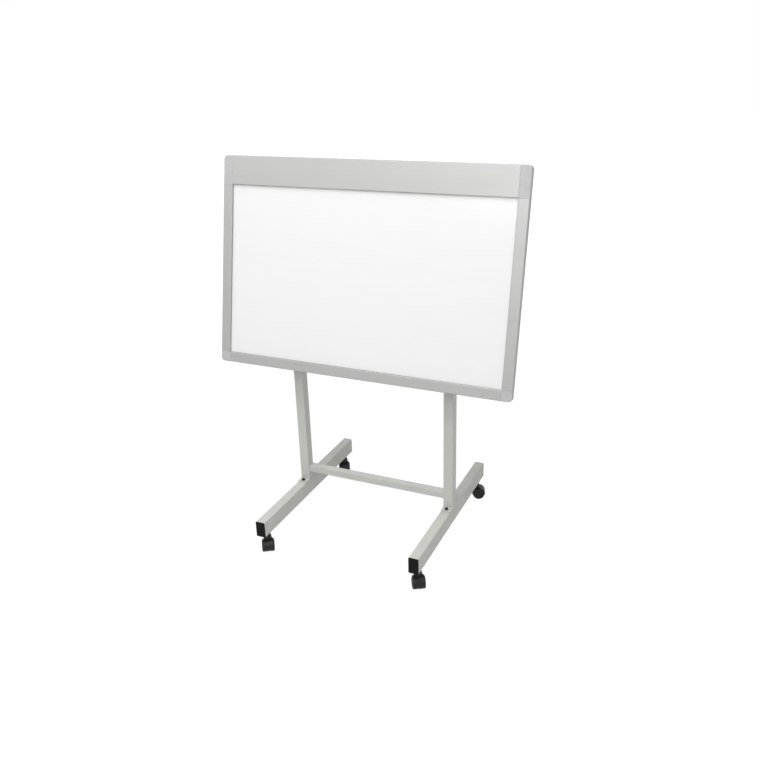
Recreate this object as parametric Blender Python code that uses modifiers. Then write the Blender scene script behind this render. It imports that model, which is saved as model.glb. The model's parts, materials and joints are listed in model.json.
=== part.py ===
"""A wheeled whiteboard that tilts on a two-post stand.

The floor is z = 0, +Y points away from the reader, and the origin lies on the floor midway
between the posts. The board hangs on an empty at the tilt axis, and each caster on an empty at
its stem, so every moving piece turns about its own or its parent's origin. Lengths are in metres.
"""

import math

import bmesh
import bpy
from mathutils import Matrix, Vector

# Clearances shared by the whole part
fit_gap = 0.0003
overrun = 0.002
merge_distance = fit_gap / 10

# The board
board_width = 1.2
board_height = 0.8
board_thickness = 0.025
board_tilt = math.radians(11.5)
tilt_forward = math.radians(11.5)
tilt_back = math.radians(18.5)
pivot_height = 1.0835
pivot_offset = 0.043
pivot_up_share = 0.5

# The aluminium frame round the board
frame_width = 0.04
header_height = 0.108
profile_wall = 0.0016
recess_depth = 0.009
panel_seat = 0.018
flange_cover = 0.012
edge_round = 0.003
corner_round = 0.014
spigot_length = 0.022

# The layers of the writing panel
face_sheet_thickness = 0.0005
back_sheet_thickness = 0.0004

# The rails on the board's back
rail_width = 0.05
rail_depth = 0.012
rail_wall = 0.002
rail_end_inset = 0.012

# The tilt brackets
bracket_wall = 0.003
bracket_top = 0.042
bracket_bottom = 0.086
ear_gap = 0.0005
ear_round = 0.016
ear_rim = 0.007
slot_radius = 0.055
bracket_bolt_inset = 0.012
ear_top_start = 100
ear_top_end = 10
ear_heel_end = -105

# The posts and the bar between them
post_spacing = 0.647
post_width = 0.04
post_wall = 0.0016
post_round = 0.003
post_above_pivot = 0.015
bar_width = 0.03
bar_wall = 0.0015
bar_round = 0.0025
bar_height = 0.2005
flange_length = 0.1
flange_thickness = 0.004

# The feet
foot_length = 0.78
foot_width = 0.04
foot_height = 0.065
foot_wall = 0.0018
foot_round = 0.004
foot_bolt_reach = 0.017
stem_boss_radius = 0.009
stem_boss_height = 0.012

# The plugs in the tube ends
plug_lip = 0.003
plug_depth = 0.014
post_plug_depth = 0.008
plug_rim_round = 0.0014

# Pivot rivets
rivet_radius = 0.005
rivet_head_radius = 0.009
rivet_head_height = 0.0035
rivet_crown_share = 0.6
rivet_shoulder_share = 0.5

# Bolts with a socket in the head
foot_bolt_radius = 0.004
foot_bolt_head_radius = 0.007
foot_bolt_head_height = 0.008
foot_bolt_grip = 0.02
bracket_bolt_radius = 0.003
bracket_bolt_head_radius = 0.0055
bracket_bolt_head_height = 0.0033
bracket_bolt_grip = 0.01
socket_share = 0.42
socket_depth_share = 0.5
socket_sides = 6
bolt_shoulder_share = 0.5
bolt_crown_share = 0.15

# Locking knobs
knob_radius = 0.021
knob_lobe = 0.003
knob_thickness = 0.014
knob_edge_round = 0.002
knob_hub_radius = 0.012
knob_hub_height = 0.006
stud_radius = 0.004
stud_reach = 0.016
knob_lobes = 5
knob_points_per_lobe = 6

# Casters
caster_height = 0.0825
caster_inset = 0.0455
caster_trail = 0.0125
wheel_radius = 0.025
wheel_width = 0.02
wheel_edge_round = 0.005
wheel_dish = 0.0015
wheel_rim = 0.0075
wheel_hub_radius = 0.007
wheel_bore_depth = 0.017
web_thickness = 0.008
web_gap = 0.0006
tread_gap = 0.0012
hood_wall = 0.002
hood_shoulder = 0.0085
hood_side_reach = 0.001
hood_cut_height = 0.021
web_floor_gap = 0.011
neck_top_radius = 0.0095
neck_base_radius = 0.0175
neck_base_height = 0.04
collar_radius = 0.01
collar_height = 0.003
stem_radius = 0.0045
stem_depth = 0.024
axle_radius = 0.003

# Facets of the round shapes
arc_steps = 3
fine_sides = 24
small_sides = 16
bolt_sides = 12
smooth_limit = math.radians(35)
rim_limit = math.radians(60)

# How each caster stands: across, along, and the heading of its trail from +X
casters = (
    ("front_left", -1, -1, math.radians(-58)),
    ("front_right", 1, -1, math.radians(-60)),
    ("rear_left", -1, 1, math.radians(-66)),
    ("rear_right", 1, 1, math.radians(19)),
)

# Sizes that follow from the ones above
foot_top = caster_height + foot_height
post_foot = foot_top + fit_gap
post_top = pivot_height + post_above_pivot
post_x = post_spacing / 2
side_reach = board_width / 2
board_bottom = -board_height * pivot_up_share
board_top = board_bottom + board_height
board_back = -pivot_offset
board_front = board_back - board_thickness
panel_inset = frame_width - panel_seat
header_inset = header_height - panel_seat
panel_front = board_front + recess_depth + fit_gap
panel_back = board_back - profile_wall - fit_gap
core_front = panel_front + face_sheet_thickness + fit_gap
core_back = panel_back - back_sheet_thickness - fit_gap
rail_back = board_back + rail_depth
bracket_front = rail_back + fit_gap
bracket_back = bracket_front + bracket_wall
ear_inner = post_width / 2 + ear_gap
ear_outer = ear_inner + bracket_wall
slot_half = stud_radius + fit_gap
slot_spare = fit_gap / slot_radius
axle_height = wheel_radius * math.cos(math.pi / fine_sides)
wheel_inner = web_thickness / 2 + web_gap
wheel_outer = wheel_inner + wheel_width
hood_radius = wheel_radius + tread_gap + hood_wall

# Axes that a flat outline is drawn in before it is given its thickness
X_AXIS = Vector((1, 0, 0))
Y_AXIS = Vector((0, 1, 0))
Z_AXIS = Vector((0, 0, 1))


def empty_scene():
    for old in list(bpy.data.objects):
        bpy.data.objects.remove(old)


def make_collection(name):
    collection = bpy.data.collections.new(name)
    bpy.context.scene.collection.children.link(collection)
    return collection


def make_material(name, colour, roughness, metallic):
    material = bpy.data.materials.new(name)
    material.use_nodes = True
    shader = material.node_tree.nodes["Principled BSDF"]
    shader.inputs["Base Color"].default_value = (*colour, 1)
    shader.inputs["Roughness"].default_value = roughness
    shader.inputs["Metallic"].default_value = metallic
    return material


def make_pivot(name, location, turn, parent=None):
    pivot = bpy.data.objects.new(name, None)
    pivot.location = location
    pivot.rotation_euler = turn
    pivot.parent = parent
    parts.objects.link(pivot)
    return pivot


def add_part(name, mesh, finish, parent=None):
    part = bpy.data.objects.new(name, mesh)
    part.parent = parent
    mesh.materials.clear()
    mesh.materials.append(finishes[finish])
    parts.objects.link(part)
    return part


def add_tool(name, mesh, parent=None):
    tool = bpy.data.objects.new(name, mesh)
    tool.parent = parent
    tool.hide_render = True
    tool.display_type = "WIRE"
    cutters.objects.link(tool)
    return tool


def apply_tool(part, tool, operation):
    step = part.modifiers.new(tool.name, "BOOLEAN")
    step.operation = operation
    step.solver = "EXACT"
    step.object = tool


def cut(part, tool):
    apply_tool(part, tool, "DIFFERENCE")


def join(part, tool):
    apply_tool(part, tool, "UNION")


def to_mesh(name, shape):
    mesh = bpy.data.meshes.new(name)
    shape.to_mesh(mesh)
    shape.free()
    return mesh


def smooth(mesh):
    mesh.shade_smooth()
    mesh.set_sharp_from_angle(angle=smooth_limit)
    return mesh


def box_mesh(name, low, high, chamfer=0.0):
    low, high = Vector(low), Vector(high)
    shape = bmesh.new()
    bmesh.ops.create_cube(shape, size=1)
    bmesh.ops.scale(shape, vec=high - low, verts=shape.verts)
    bmesh.ops.translate(shape, vec=(low + high) / 2, verts=shape.verts)
    if chamfer:
        bmesh.ops.bevel(
            shape, geom=shape.edges[:], offset=chamfer, segments=1,
            profile=0.5, affect="EDGES", material=-1,
        )
    return to_mesh(name, shape)


def cylinder_mesh(name, radius, length, sides, top_radius=None):
    """A cylinder or cone round Z with its base at z = 0."""
    shape = bmesh.new()
    bmesh.ops.create_cone(
        shape,
        cap_ends=True,
        segments=sides,
        radius1=radius,
        radius2=radius if top_radius is None else top_radius,
        depth=length,
    )
    bmesh.ops.translate(shape, vec=Z_AXIS * (length / 2), verts=shape.verts)
    return smooth(to_mesh(name, shape))


def arc(centre, radius, start, end, steps):
    """Points along an arc, its angles in degrees."""
    points = []
    for step in range(steps + 1):
        angle = math.radians(start + (end - start) * step / steps)
        points.append((centre[0] + radius * math.cos(angle), centre[1] + radius * math.sin(angle)))
    return points


def circle(centre, radius, sides):
    return arc(centre, radius, 0, 360, sides)[:-1]


def rounded_rectangle(width, height, radius):
    right = width / 2 - radius
    top = height / 2 - radius
    return (
        arc((right, top), radius, 0, 90, arc_steps)
        + arc((-right, top), radius, 90, 180, arc_steps)
        + arc((-right, -top), radius, 180, 270, arc_steps)
        + arc((right, -top), radius, 270, 360, arc_steps)
    )


def tube_loops(width, height, wall, radius):
    """The outer and inner outlines of a rectangular tube."""
    inner = rounded_rectangle(width - 2 * wall, height - 2 * wall, radius - wall)
    return [rounded_rectangle(width, height, radius), inner]


def plate_mesh(name, loops, thickness, across, up, middle=0.0):
    """A flat outline and its holes, drawn along two axes and thickened along the third."""
    curve = bpy.data.curves.new(name, "CURVE")
    curve.dimensions = "2D"
    curve.fill_mode = "BOTH"
    curve.extrude = thickness / 2
    for loop in loops:
        spline = curve.splines.new("POLY")
        spline.points.add(len(loop) - 1)
        spline.use_cyclic_u = True
        for point, (first, second) in zip(spline.points, loop):
            point.co = (first, second, 0, 1)
    holder = bpy.data.objects.new(name, curve)
    cutters.objects.link(holder)
    depsgraph = bpy.context.evaluated_depsgraph_get()
    mesh = bpy.data.meshes.new_from_object(holder.evaluated_get(depsgraph))
    bpy.data.objects.remove(holder)
    out = across.cross(up)
    turn = Matrix((across, up, out)).transposed().to_4x4()
    shape = bmesh.new()
    shape.from_mesh(mesh)
    bmesh.ops.remove_doubles(shape, verts=shape.verts, dist=merge_distance)
    bmesh.ops.transform(shape, matrix=turn, verts=shape.verts)
    bmesh.ops.translate(shape, vec=out * middle, verts=shape.verts)
    shape.to_mesh(mesh)
    shape.free()
    return mesh


def turned_part(part, profile, sides, flat_down=False):
    """Sweeps a profile round Z. It runs down the outer side, from the top to the bottom."""
    shape = bmesh.new()
    points = [shape.verts.new((radius, 0, height)) for radius, height in profile]
    for first, second in zip(points, points[1:]):
        shape.edges.new((first, second))
    if flat_down:
        half_step = Matrix.Rotation(math.pi / sides, 4, "Z")
        bmesh.ops.transform(shape, matrix=half_step, verts=shape.verts)
    shape.to_mesh(part.data)
    shape.free()
    sweep = part.modifiers.new("turning", "SCREW")
    sweep.axis = "Z"
    sweep.steps = sides
    sweep.render_steps = sides
    sweep.use_merge_vertices = True
    sweep.merge_threshold = merge_distance
    sweep.use_smooth_shade = True


def round_rim(mesh, height, width):
    """Rounds the outer edge of a shape at one height."""
    shape = bmesh.new()
    shape.from_mesh(mesh)
    rim = []
    for edge in shape.edges:
        level = all(abs(vert.co.z - height) < merge_distance for vert in edge.verts)
        if level and edge.calc_face_angle(0) > rim_limit:
            rim.append(edge)
    bmesh.ops.bevel(
        shape, geom=rim, offset=width, segments=2, profile=0.5, affect="EDGES", material=-1
    )
    shape.to_mesh(mesh)
    shape.free()
    return mesh


# The board

def profile_points(width, flange):
    """A frame profile's section: inward from its outer edge, and back from its front."""
    back = board_thickness
    front_round = arc((edge_round, edge_round), edge_round, 180, 270, arc_steps)
    back_round = arc((edge_round, back - edge_round), edge_round, 90, 180, arc_steps)
    inside = [
        (width, 0),
        (width, recess_depth),
        (width - profile_wall, recess_depth),
        (width - profile_wall, profile_wall),
        (edge_round, profile_wall),
        (profile_wall, edge_round),
        (profile_wall, back - edge_round),
        (edge_round, back - profile_wall),
        (flange, back - profile_wall),
        (flange, back),
    ]
    return front_round + inside + back_round


def make_side_profile(side, name):
    flange = panel_inset + flange_cover
    loop = []
    for inward, depth in profile_points(frame_width, flange):
        loop.append((side * (side_reach - inward), board_front + depth))
    low = board_bottom + frame_width + fit_gap
    high = board_top - header_height - fit_gap
    mesh = plate_mesh(name, [loop], high - low, X_AXIS, Y_AXIS, (low + high) / 2)
    add_part(name, mesh, "aluminium", tilt_axis)


def make_level_profile(name, width, inset, edge, inward_sign):
    """The header or the bottom profile, which runs between two corner pieces."""
    loop = []
    for inward, depth in profile_points(width, inset + flange_cover):
        loop.append((board_front + depth, edge + inward_sign * inward))
    length = board_width - 2 * (frame_width + fit_gap)
    mesh = plate_mesh(name, [loop], length, Y_AXIS, Z_AXIS)
    add_part(name, mesh, "aluminium", tilt_axis)


def corner_block_mesh(name, height):
    """A corner piece's body, its outer corner at the origin and its inside towards +X and +Z."""
    shape = bmesh.new()
    bmesh.ops.create_cube(shape, size=1)
    size = Vector((frame_width, board_thickness, height))
    bmesh.ops.scale(shape, vec=size, verts=shape.verts)
    bmesh.ops.translate(shape, vec=size / 2, verts=shape.verts)
    near = merge_distance
    outer = []
    for edge in shape.edges:
        if all(vert.co.x < near and vert.co.z < near for vert in edge.verts):
            outer.append(edge)
    bmesh.ops.bevel(
        shape, geom=outer, offset=corner_round, segments=2 * arc_steps,
        profile=0.5, affect="EDGES", material=-1,
    )
    rim = []
    for edge in shape.edges:
        ends = [vert.co for vert in edge.verts]
        level = abs(ends[0].y - ends[1].y) < near
        on_side = all(end.x > frame_width - near for end in ends)
        on_top = all(end.z > height - near for end in ends)
        if level and not on_side and not on_top:
            rim.append(edge)
    bmesh.ops.bevel(
        shape, geom=rim, offset=edge_round, segments=arc_steps,
        profile=0.5, affect="EDGES", material=-1,
    )
    return to_mesh(name, shape)


def make_corner(name, across, up, height, inset):
    """A plastic corner piece with a spigot into each profile and a pocket for the panel."""
    edge_z = board_bottom if up > 0 else board_top
    seat = make_pivot(
        name + "_seat", (across * side_reach, board_front, edge_z), (0, 0, 0), tilt_axis
    )
    seat.scale = (-across, 1, up)
    block = corner_block_mesh(name, height)
    part = add_part(name, block, "corner_plastic", seat)
    wall = profile_wall + fit_gap
    back = board_thickness - wall
    reach = frame_width + spigot_length
    side_spigot = box_mesh(
        name + "_side_spigot",
        (wall, wall, height - spigot_length),
        (panel_inset - 2 * fit_gap, back, height + spigot_length),
        edge_round - profile_wall,
    )
    level_spigot = box_mesh(
        name + "_level_spigot",
        (frame_width - spigot_length / 2, wall, wall),
        (reach, back, inset - 2 * fit_gap),
        edge_round - profile_wall,
    )
    pocket = box_mesh(
        name + "_pocket",
        (panel_inset - fit_gap, recess_depth, inset - fit_gap),
        (reach + overrun, board_thickness - profile_wall, height + spigot_length + overrun),
    )
    notch = box_mesh(
        name + "_notch",
        (panel_inset + flange_cover, recess_depth + overrun, inset + flange_cover),
        (reach + overrun, board_thickness + overrun, height + spigot_length + overrun),
    )
    for mesh in (side_spigot, level_spigot):
        join(part, add_tool(mesh.name, mesh, seat))
    for mesh in (pocket, notch):
        cut(part, add_tool(mesh.name, mesh, seat))


def make_panel():
    reach = side_reach - panel_inset
    low = board_bottom + panel_inset
    high = board_top - header_inset
    layers = (
        ("writing_panel", panel_front, panel_front + face_sheet_thickness, "white_enamel"),
        ("panel_core", core_front, core_back, "paper_honeycomb"),
        ("back_sheet", panel_back - back_sheet_thickness, panel_back, "galvanised"),
    )
    for name, front, back, finish in layers:
        mesh = box_mesh(name, (-reach, front, low), (reach, back, high))
        add_part(name, mesh, finish, tilt_axis)


def make_rail(side, name):
    """A channel down the board's back, open towards the board."""
    half = rail_width / 2
    front = board_back + fit_gap
    loop = [
        (-half, front),
        (-half + rail_wall, front),
        (-half + rail_wall, rail_back - rail_wall),
        (half - rail_wall, rail_back - rail_wall),
        (half - rail_wall, front),
        (half, front),
        (half, rail_back),
        (-half, rail_back),
    ]
    loop = [(side * post_x + first, second) for first, second in loop]
    low = board_bottom + rail_end_inset
    high = board_top - rail_end_inset
    mesh = plate_mesh(name, [loop], high - low, X_AXIS, Y_AXIS, (low + high) / 2)
    part = add_part(name, mesh, "zinc_steel", tilt_axis)
    cut_bracket_bolt_holes(part, side)


def bracket_bolt_places(side):
    low = -bracket_bottom + bracket_bolt_inset
    high = bracket_top - bracket_bolt_inset
    return (("lower", side * post_x, low), ("upper", side * post_x, high))


def cut_bracket_bolt_holes(part, side):
    for place, across, up in bracket_bolt_places(side):
        length = rail_depth + bracket_wall + 2 * overrun
        mesh = cylinder_mesh(
            part.name + "_" + place + "_hole", bracket_bolt_radius + fit_gap, length, bolt_sides
        )
        tool = add_tool(mesh.name, mesh, tilt_axis)
        tool.location = (across, bracket_back + overrun, up)
        tool.rotation_euler = (math.radians(90), 0, 0)
        cut(part, tool)


def ear_loops():
    """A bracket ear round the tilt axis: back from the axis, and up the board."""
    sweep_back = math.degrees(board_tilt + tilt_back + slot_spare)
    sweep_front = math.degrees(tilt_forward - board_tilt + slot_spare)
    bottom = -90
    tip_angle = math.radians(bottom + sweep_back)
    tip = (slot_radius * math.cos(tip_angle), slot_radius * math.sin(tip_angle))
    lobe = slot_half + ear_rim
    edge = (
        [(bracket_front, bracket_top), (bracket_back, bracket_top)]
        + arc((0, 0), ear_round, ear_top_start, ear_top_end, 2 * arc_steps)
        + arc(tip, lobe, 0, bottom + sweep_back, arc_steps)
        + arc((0, 0), slot_radius + lobe, bottom + sweep_back, ear_heel_end, 2 * arc_steps)[1:]
        + [(bracket_back, -bracket_bottom), (bracket_front, -bracket_bottom)]
    )
    heel_angle = math.radians(bottom - sweep_front)
    heel = (slot_radius * math.cos(heel_angle), slot_radius * math.sin(heel_angle))
    outer = arc(
        (0, 0), slot_radius + slot_half, bottom - sweep_front, bottom + sweep_back, 3 * arc_steps
    )
    far_end = arc(tip, slot_half, bottom + sweep_back, bottom + sweep_back + 180, 2 * arc_steps)
    inner = arc(
        (0, 0), slot_radius - slot_half, bottom + sweep_back, bottom - sweep_front, 3 * arc_steps
    )
    near_end = arc(
        heel, slot_half, bottom - sweep_front + 180, bottom - sweep_front + 360, 2 * arc_steps
    )
    slot = outer[:-1] + far_end[:-1] + inner[:-1] + near_end[:-1]
    return [edge, circle((0, 0), rivet_radius + fit_gap, bolt_sides), slot]


def make_bracket(side, name):
    """A channel bracket whose slotted ears stand on both sides of the post."""
    middle = side * post_x
    base = box_mesh(
        name,
        (middle - ear_outer, bracket_front, -bracket_bottom),
        (middle + ear_outer, bracket_back, bracket_top),
    )
    part = add_part(name, base, "painted_steel", tilt_axis)
    for ear_side in (-1, 1):
        offset = ear_side * (ear_inner + ear_outer) / 2
        mesh = plate_mesh(
            name + "_ear_" + ("left" if ear_side < 0 else "right"),
            ear_loops(), bracket_wall, Y_AXIS, Z_AXIS, middle + offset,
        )
        join(part, add_tool(mesh.name, mesh, tilt_axis))
    cut_bracket_bolt_holes(part, side)
    for place, across, up in bracket_bolt_places(side):
        bolt = make_bolt(
            name + "_" + place + "_bolt", bracket_bolt_radius, bracket_bolt_head_radius,
            bracket_bolt_head_height, bracket_bolt_grip, "bright_bolt", tilt_axis,
        )
        bolt.location = (across, bracket_back + fit_gap, up)
        bolt.rotation_euler = (math.radians(-90), 0, 0)


# Fasteners

def make_bolt(name, radius, head_radius, head_height, grip, finish, parent=None):
    """A button-head bolt along Z, its head above z = 0 and a hexagonal socket in it."""
    part = add_part(name, bpy.data.meshes.new(name), finish, parent)
    shoulder = head_height * bolt_shoulder_share
    crown = head_height * bolt_crown_share
    profile = [
        (0, head_height), (head_radius - shoulder, head_height),
        (head_radius - crown, head_height - crown), (head_radius, shoulder), (head_radius, 0),
        (radius, 0), (radius, -grip), (0, -grip),
    ]
    turned_part(part, profile, bolt_sides)
    depth = head_height * socket_depth_share
    socket = cylinder_mesh(
        name + "_socket", head_radius * socket_share, depth + overrun, socket_sides
    )
    tool = add_tool(socket.name, socket, part)
    tool.location = (0, 0, head_height - depth)
    cut(part, tool)
    return part


def make_rivet(side, name):
    part = add_part(name, bpy.data.meshes.new(name), "bright_bolt")
    seat = ear_outer + fit_gap
    head = seat + rivet_head_height
    crown = rivet_head_radius * rivet_crown_share
    shoulder = seat + rivet_head_height * rivet_shoulder_share
    profile = [
        (0, head), (crown, head), (rivet_head_radius, shoulder), (rivet_head_radius, seat),
        (rivet_radius, seat), (rivet_radius, -seat), (rivet_head_radius, -seat),
        (rivet_head_radius, -shoulder), (crown, -head), (0, -head),
    ]
    turned_part(part, profile, small_sides)
    part.location = (side * post_x, 0, pivot_height)
    part.rotation_euler = (0, math.radians(90), 0)


def knob_outline():
    points = []
    sides = knob_points_per_lobe * knob_lobes
    for step in range(sides):
        angle = 2 * math.pi * step / sides
        reach = knob_radius - knob_lobe * (1 - math.cos(knob_lobes * angle)) / 2
        points.append((reach * math.cos(angle), reach * math.sin(angle)))
    return points


def make_knob(side, name):
    """A star knob with its stud, modelled along Z and turned to point outwards."""
    axis = make_pivot(
        name + "_axis", (side * (post_x + ear_outer + fit_gap), 0, pivot_height - slot_radius),
        (0, side * math.radians(90), 0),
    )
    head_middle = knob_hub_height + knob_thickness / 2
    head = plate_mesh(name, [knob_outline()], knob_thickness, X_AXIS, Y_AXIS, head_middle)
    part = add_part(name, head, "black_plastic", axis)
    bevel = part.modifiers.new("edges", "BEVEL")
    bevel.width = knob_edge_round
    bevel.segments = 2
    bevel.limit_method = "ANGLE"
    bevel.angle_limit = rim_limit
    hub = cylinder_mesh(
        name + "_hub", knob_hub_radius, knob_hub_height + overrun, small_sides
    )
    join(part, add_tool(hub.name, hub, axis))
    stud_length = ear_outer - post_width / 2 + fit_gap + stud_reach
    stud = cylinder_mesh(name + "_stud", stud_radius, stud_length + overrun, bolt_sides)
    tool = add_tool(stud.name, stud, axis)
    tool.location = (0, 0, -stud_length)
    join(part, tool)


# The stand

def cross_hole(part, radius, height, length, middle):
    """A hole along X through both walls of a post."""
    mesh = cylinder_mesh(part.name + "_hole", radius, length, bolt_sides)
    tool = add_tool(mesh.name, mesh)
    tool.location = (middle - length / 2, 0, height)
    tool.rotation_euler = (0, math.radians(90), 0)
    cut(part, tool)


def foot_bolt_places(side):
    reach = post_width / 2 + foot_bolt_reach
    return (("front", side * post_x, -reach), ("rear", side * post_x, reach))


def cut_foot_bolt_holes(part, side, low, high):
    for place, across, along in foot_bolt_places(side):
        mesh = cylinder_mesh(
            part.name + "_" + place + "_hole", foot_bolt_radius + fit_gap, high - low, bolt_sides
        )
        tool = add_tool(mesh.name, mesh)
        tool.location = (across, along, low)
        cut(part, tool)


def make_post(side, name):
    middle = side * post_x
    loops = tube_loops(post_width, post_width, post_wall, post_round)
    loops = [[(middle + first, second) for first, second in loop] for loop in loops]
    length = post_top - post_foot
    mesh = plate_mesh(name, loops, length, X_AXIS, Y_AXIS, (post_top + post_foot) / 2)
    part = add_part(name, mesh, "stand_paint")
    flange = box_mesh(
        name + "_flange",
        (middle - foot_width / 2, -flange_length / 2, post_foot),
        (middle + foot_width / 2, flange_length / 2, post_foot + flange_thickness),
    )
    join(part, add_tool(flange.name, flange))
    through = post_width + 2 * overrun
    cross_hole(part, rivet_radius + fit_gap, pivot_height, through, middle)
    cross_hole(part, stud_radius + fit_gap, pivot_height - slot_radius, through, middle)
    low = post_foot - overrun
    cut_foot_bolt_holes(part, side, low, post_foot + flange_thickness + overrun)


def make_plug(name, width, height, wall, radius, depth):
    """A plastic plug: a lip above z = 0 that covers a tube's end, and a block inside the tube."""
    lip = plate_mesh(
        name, [rounded_rectangle(width, height, radius)], plug_lip, X_AXIS, Y_AXIS,
        fit_gap + plug_lip / 2,
    )
    round_rim(lip, fit_gap + plug_lip, plug_rim_round)
    part = add_part(name, lip, "black_plastic")
    inner_width = width - 2 * (wall + fit_gap)
    inner_height = height - 2 * (wall + fit_gap)
    block = plate_mesh(
        name + "_block",
        [rounded_rectangle(inner_width, inner_height, radius - wall)],
        depth + overrun, X_AXIS, Y_AXIS, (overrun - depth) / 2,
    )
    join(part, add_tool(block.name, block, part))
    return part


def make_bar():
    loops = tube_loops(bar_width, bar_width, bar_wall, bar_round)
    loops = [[(first, bar_height + second) for first, second in loop] for loop in loops]
    length = post_spacing - post_width - 2 * fit_gap
    mesh = plate_mesh("cross_bar", loops, length, Y_AXIS, Z_AXIS)
    add_part("cross_bar", mesh, "stand_paint")


def make_foot(side, name):
    middle = side * post_x
    loops = tube_loops(foot_width, foot_height, foot_wall, foot_round)
    level = caster_height + foot_height / 2
    loops = [[(middle + first, level + second) for first, second in loop] for loop in loops]
    length = foot_length - 2 * (plug_lip + fit_gap)
    mesh = plate_mesh(name, loops, length, X_AXIS, Z_AXIS)
    part = add_part(name, mesh, "stand_paint")
    cut_foot_bolt_holes(part, side, foot_top - foot_wall - overrun, foot_top + overrun)
    for place in (-1, 1):
        along = place * (foot_length / 2 - caster_inset)
        end = "front" if place < 0 else "rear"
        boss = cylinder_mesh(
            name + "_" + end + "_boss", stem_boss_radius, foot_wall / 2 + stem_boss_height,
            bolt_sides,
        )
        boss_tool = add_tool(boss.name, boss)
        boss_tool.location = (middle, along, caster_height + foot_wall / 2)
        join(part, boss_tool)
        hole = cylinder_mesh(
            name + "_" + end + "_stem_hole", stem_radius + fit_gap,
            foot_wall + stem_boss_height + 2 * overrun, small_sides,
        )
        hole_tool = add_tool(hole.name, hole)
        hole_tool.location = (middle, along, caster_height - overrun)
        cut(part, hole_tool)
    for place, across, along in foot_bolt_places(side):
        bolt = make_bolt(
            name + "_" + place + "_bolt", foot_bolt_radius, foot_bolt_head_radius,
            foot_bolt_head_height, foot_bolt_grip, "black_bolt",
        )
        bolt.location = (across, along, post_foot + flange_thickness + fit_gap)


def make_foot_plugs(side, name):
    tube_end = foot_length / 2 - plug_lip - fit_gap
    for place in (-1, 1):
        end = "front" if place < 0 else "rear"
        plug = make_plug(
            name + "_" + end + "_cap", foot_width, foot_height, foot_wall, foot_round, plug_depth
        )
        plug.location = (side * post_x, place * tube_end, caster_height + foot_height / 2)
        plug.rotation_euler = (-place * math.radians(90), 0, 0)


def make_post_cap(side, name):
    plug = make_plug(name, post_width, post_width, post_wall, post_round, post_plug_depth)
    plug.location = (side * post_x, 0, post_top)


# Casters

def make_stem(name, seat):
    """The steel pin a caster turns on, its collar under the foot and its top in the foot's boss."""
    part = add_part(name, bpy.data.meshes.new(name), "bright_bolt", seat)
    under = caster_height - fit_gap
    collar_low = under - collar_height
    top = caster_height + foot_wall + stem_boss_height
    profile = [
        (0, top), (stem_radius, top), (stem_radius, under), (collar_radius, under),
        (collar_radius, collar_low), (stem_radius, collar_low),
        (stem_radius, collar_low - stem_depth), (0, collar_low - stem_depth),
    ]
    turned_part(part, profile, small_sides)


def side_cylinder(name, radius, low, high, sides, seat):
    """A cylinder along the axle, between two distances from the caster's middle."""
    mesh = cylinder_mesh(name, radius, high - low, sides)
    tool = add_tool(name, mesh, seat)
    tool.location = (caster_trail, low, axle_height)
    tool.rotation_euler = (math.radians(-90), 0, 0)
    return tool


def wheel_space_loop(reach):
    """The room for a wheel under its guard: round over the tread, and open below and beside it."""
    space = wheel_radius + tread_gap
    drop = math.degrees(math.asin((hood_cut_height - axle_height) / space))
    guard = arc((caster_trail, axle_height), space, drop, 180 - drop, 8 * arc_steps)
    return guard + [
        (-reach, hood_cut_height), (-reach, -reach), (2 * reach, -reach), (2 * reach, hood_cut_height)
    ]


def make_hood(name, seat):
    """The moulded body: a neck, a web between the wheels, and a guard over the treads."""
    hood_half = wheel_outer + hood_side_reach
    body = bmesh.new()
    bmesh.ops.create_cone(
        body, cap_ends=True, segments=fine_sides,
        radius1=hood_radius, radius2=hood_radius, depth=2 * hood_half,
    )
    rim = [edge for edge in body.edges if abs(edge.verts[0].co.z - edge.verts[1].co.z) < fit_gap]
    bmesh.ops.bevel(
        body, geom=rim, offset=hood_shoulder, segments=3, profile=0.5, affect="EDGES", material=-1
    )
    bmesh.ops.rotate(body, matrix=Matrix.Rotation(math.radians(90), 3, "X"), verts=body.verts)
    bmesh.ops.translate(body, vec=(caster_trail, 0, axle_height), verts=body.verts)
    part = add_part(name, smooth(to_mesh(name, body)), "black_plastic", seat)
    neck_top = caster_height - 2 * fit_gap - collar_height
    neck = cylinder_mesh(
        name + "_neck", neck_base_radius, neck_top - neck_base_height, small_sides, neck_top_radius
    )
    neck_tool = add_tool(neck.name, neck, seat)
    neck_tool.location = (0, 0, neck_base_height)
    join(part, neck_tool)
    outside = hood_half + overrun
    reach = caster_trail + hood_radius + overrun
    middle = (web_thickness / 2 + outside) / 2
    for end, offset in (("near", -middle), ("far", middle)):
        mesh = plate_mesh(
            name + "_" + end + "_space", [wheel_space_loop(reach)],
            outside - web_thickness / 2, X_AXIS, Z_AXIS, offset,
        )
        cut(part, add_tool(mesh.name, mesh, seat))
    sole = box_mesh(
        name + "_sole", (-reach, -outside, -reach), (2 * reach, outside, web_floor_gap)
    )
    cut(part, add_tool(sole.name, sole, seat))
    bore = cylinder_mesh(name + "_bore", stem_radius + fit_gap, stem_depth + 2 * overrun, small_sides)
    bore_tool = add_tool(bore.name, bore, seat)
    bore_tool.location = (0, 0, neck_top - stem_depth - fit_gap)
    cut(part, bore_tool)
    cut(part, side_cylinder(
        name + "_axle_hole", axle_radius + fit_gap, -outside, outside, small_sides, seat
    ))


def make_axle(name, seat):
    part = add_part(name, bpy.data.meshes.new(name), "bright_bolt", seat)
    half = wheel_inner + wheel_bore_depth - fit_gap
    profile = [(0, half), (axle_radius, half), (axle_radius, -half), (0, -half)]
    turned_part(part, profile, small_sides)
    part.location = (caster_trail, 0, axle_height)
    part.rotation_euler = (math.radians(-90), 0, 0)


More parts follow.
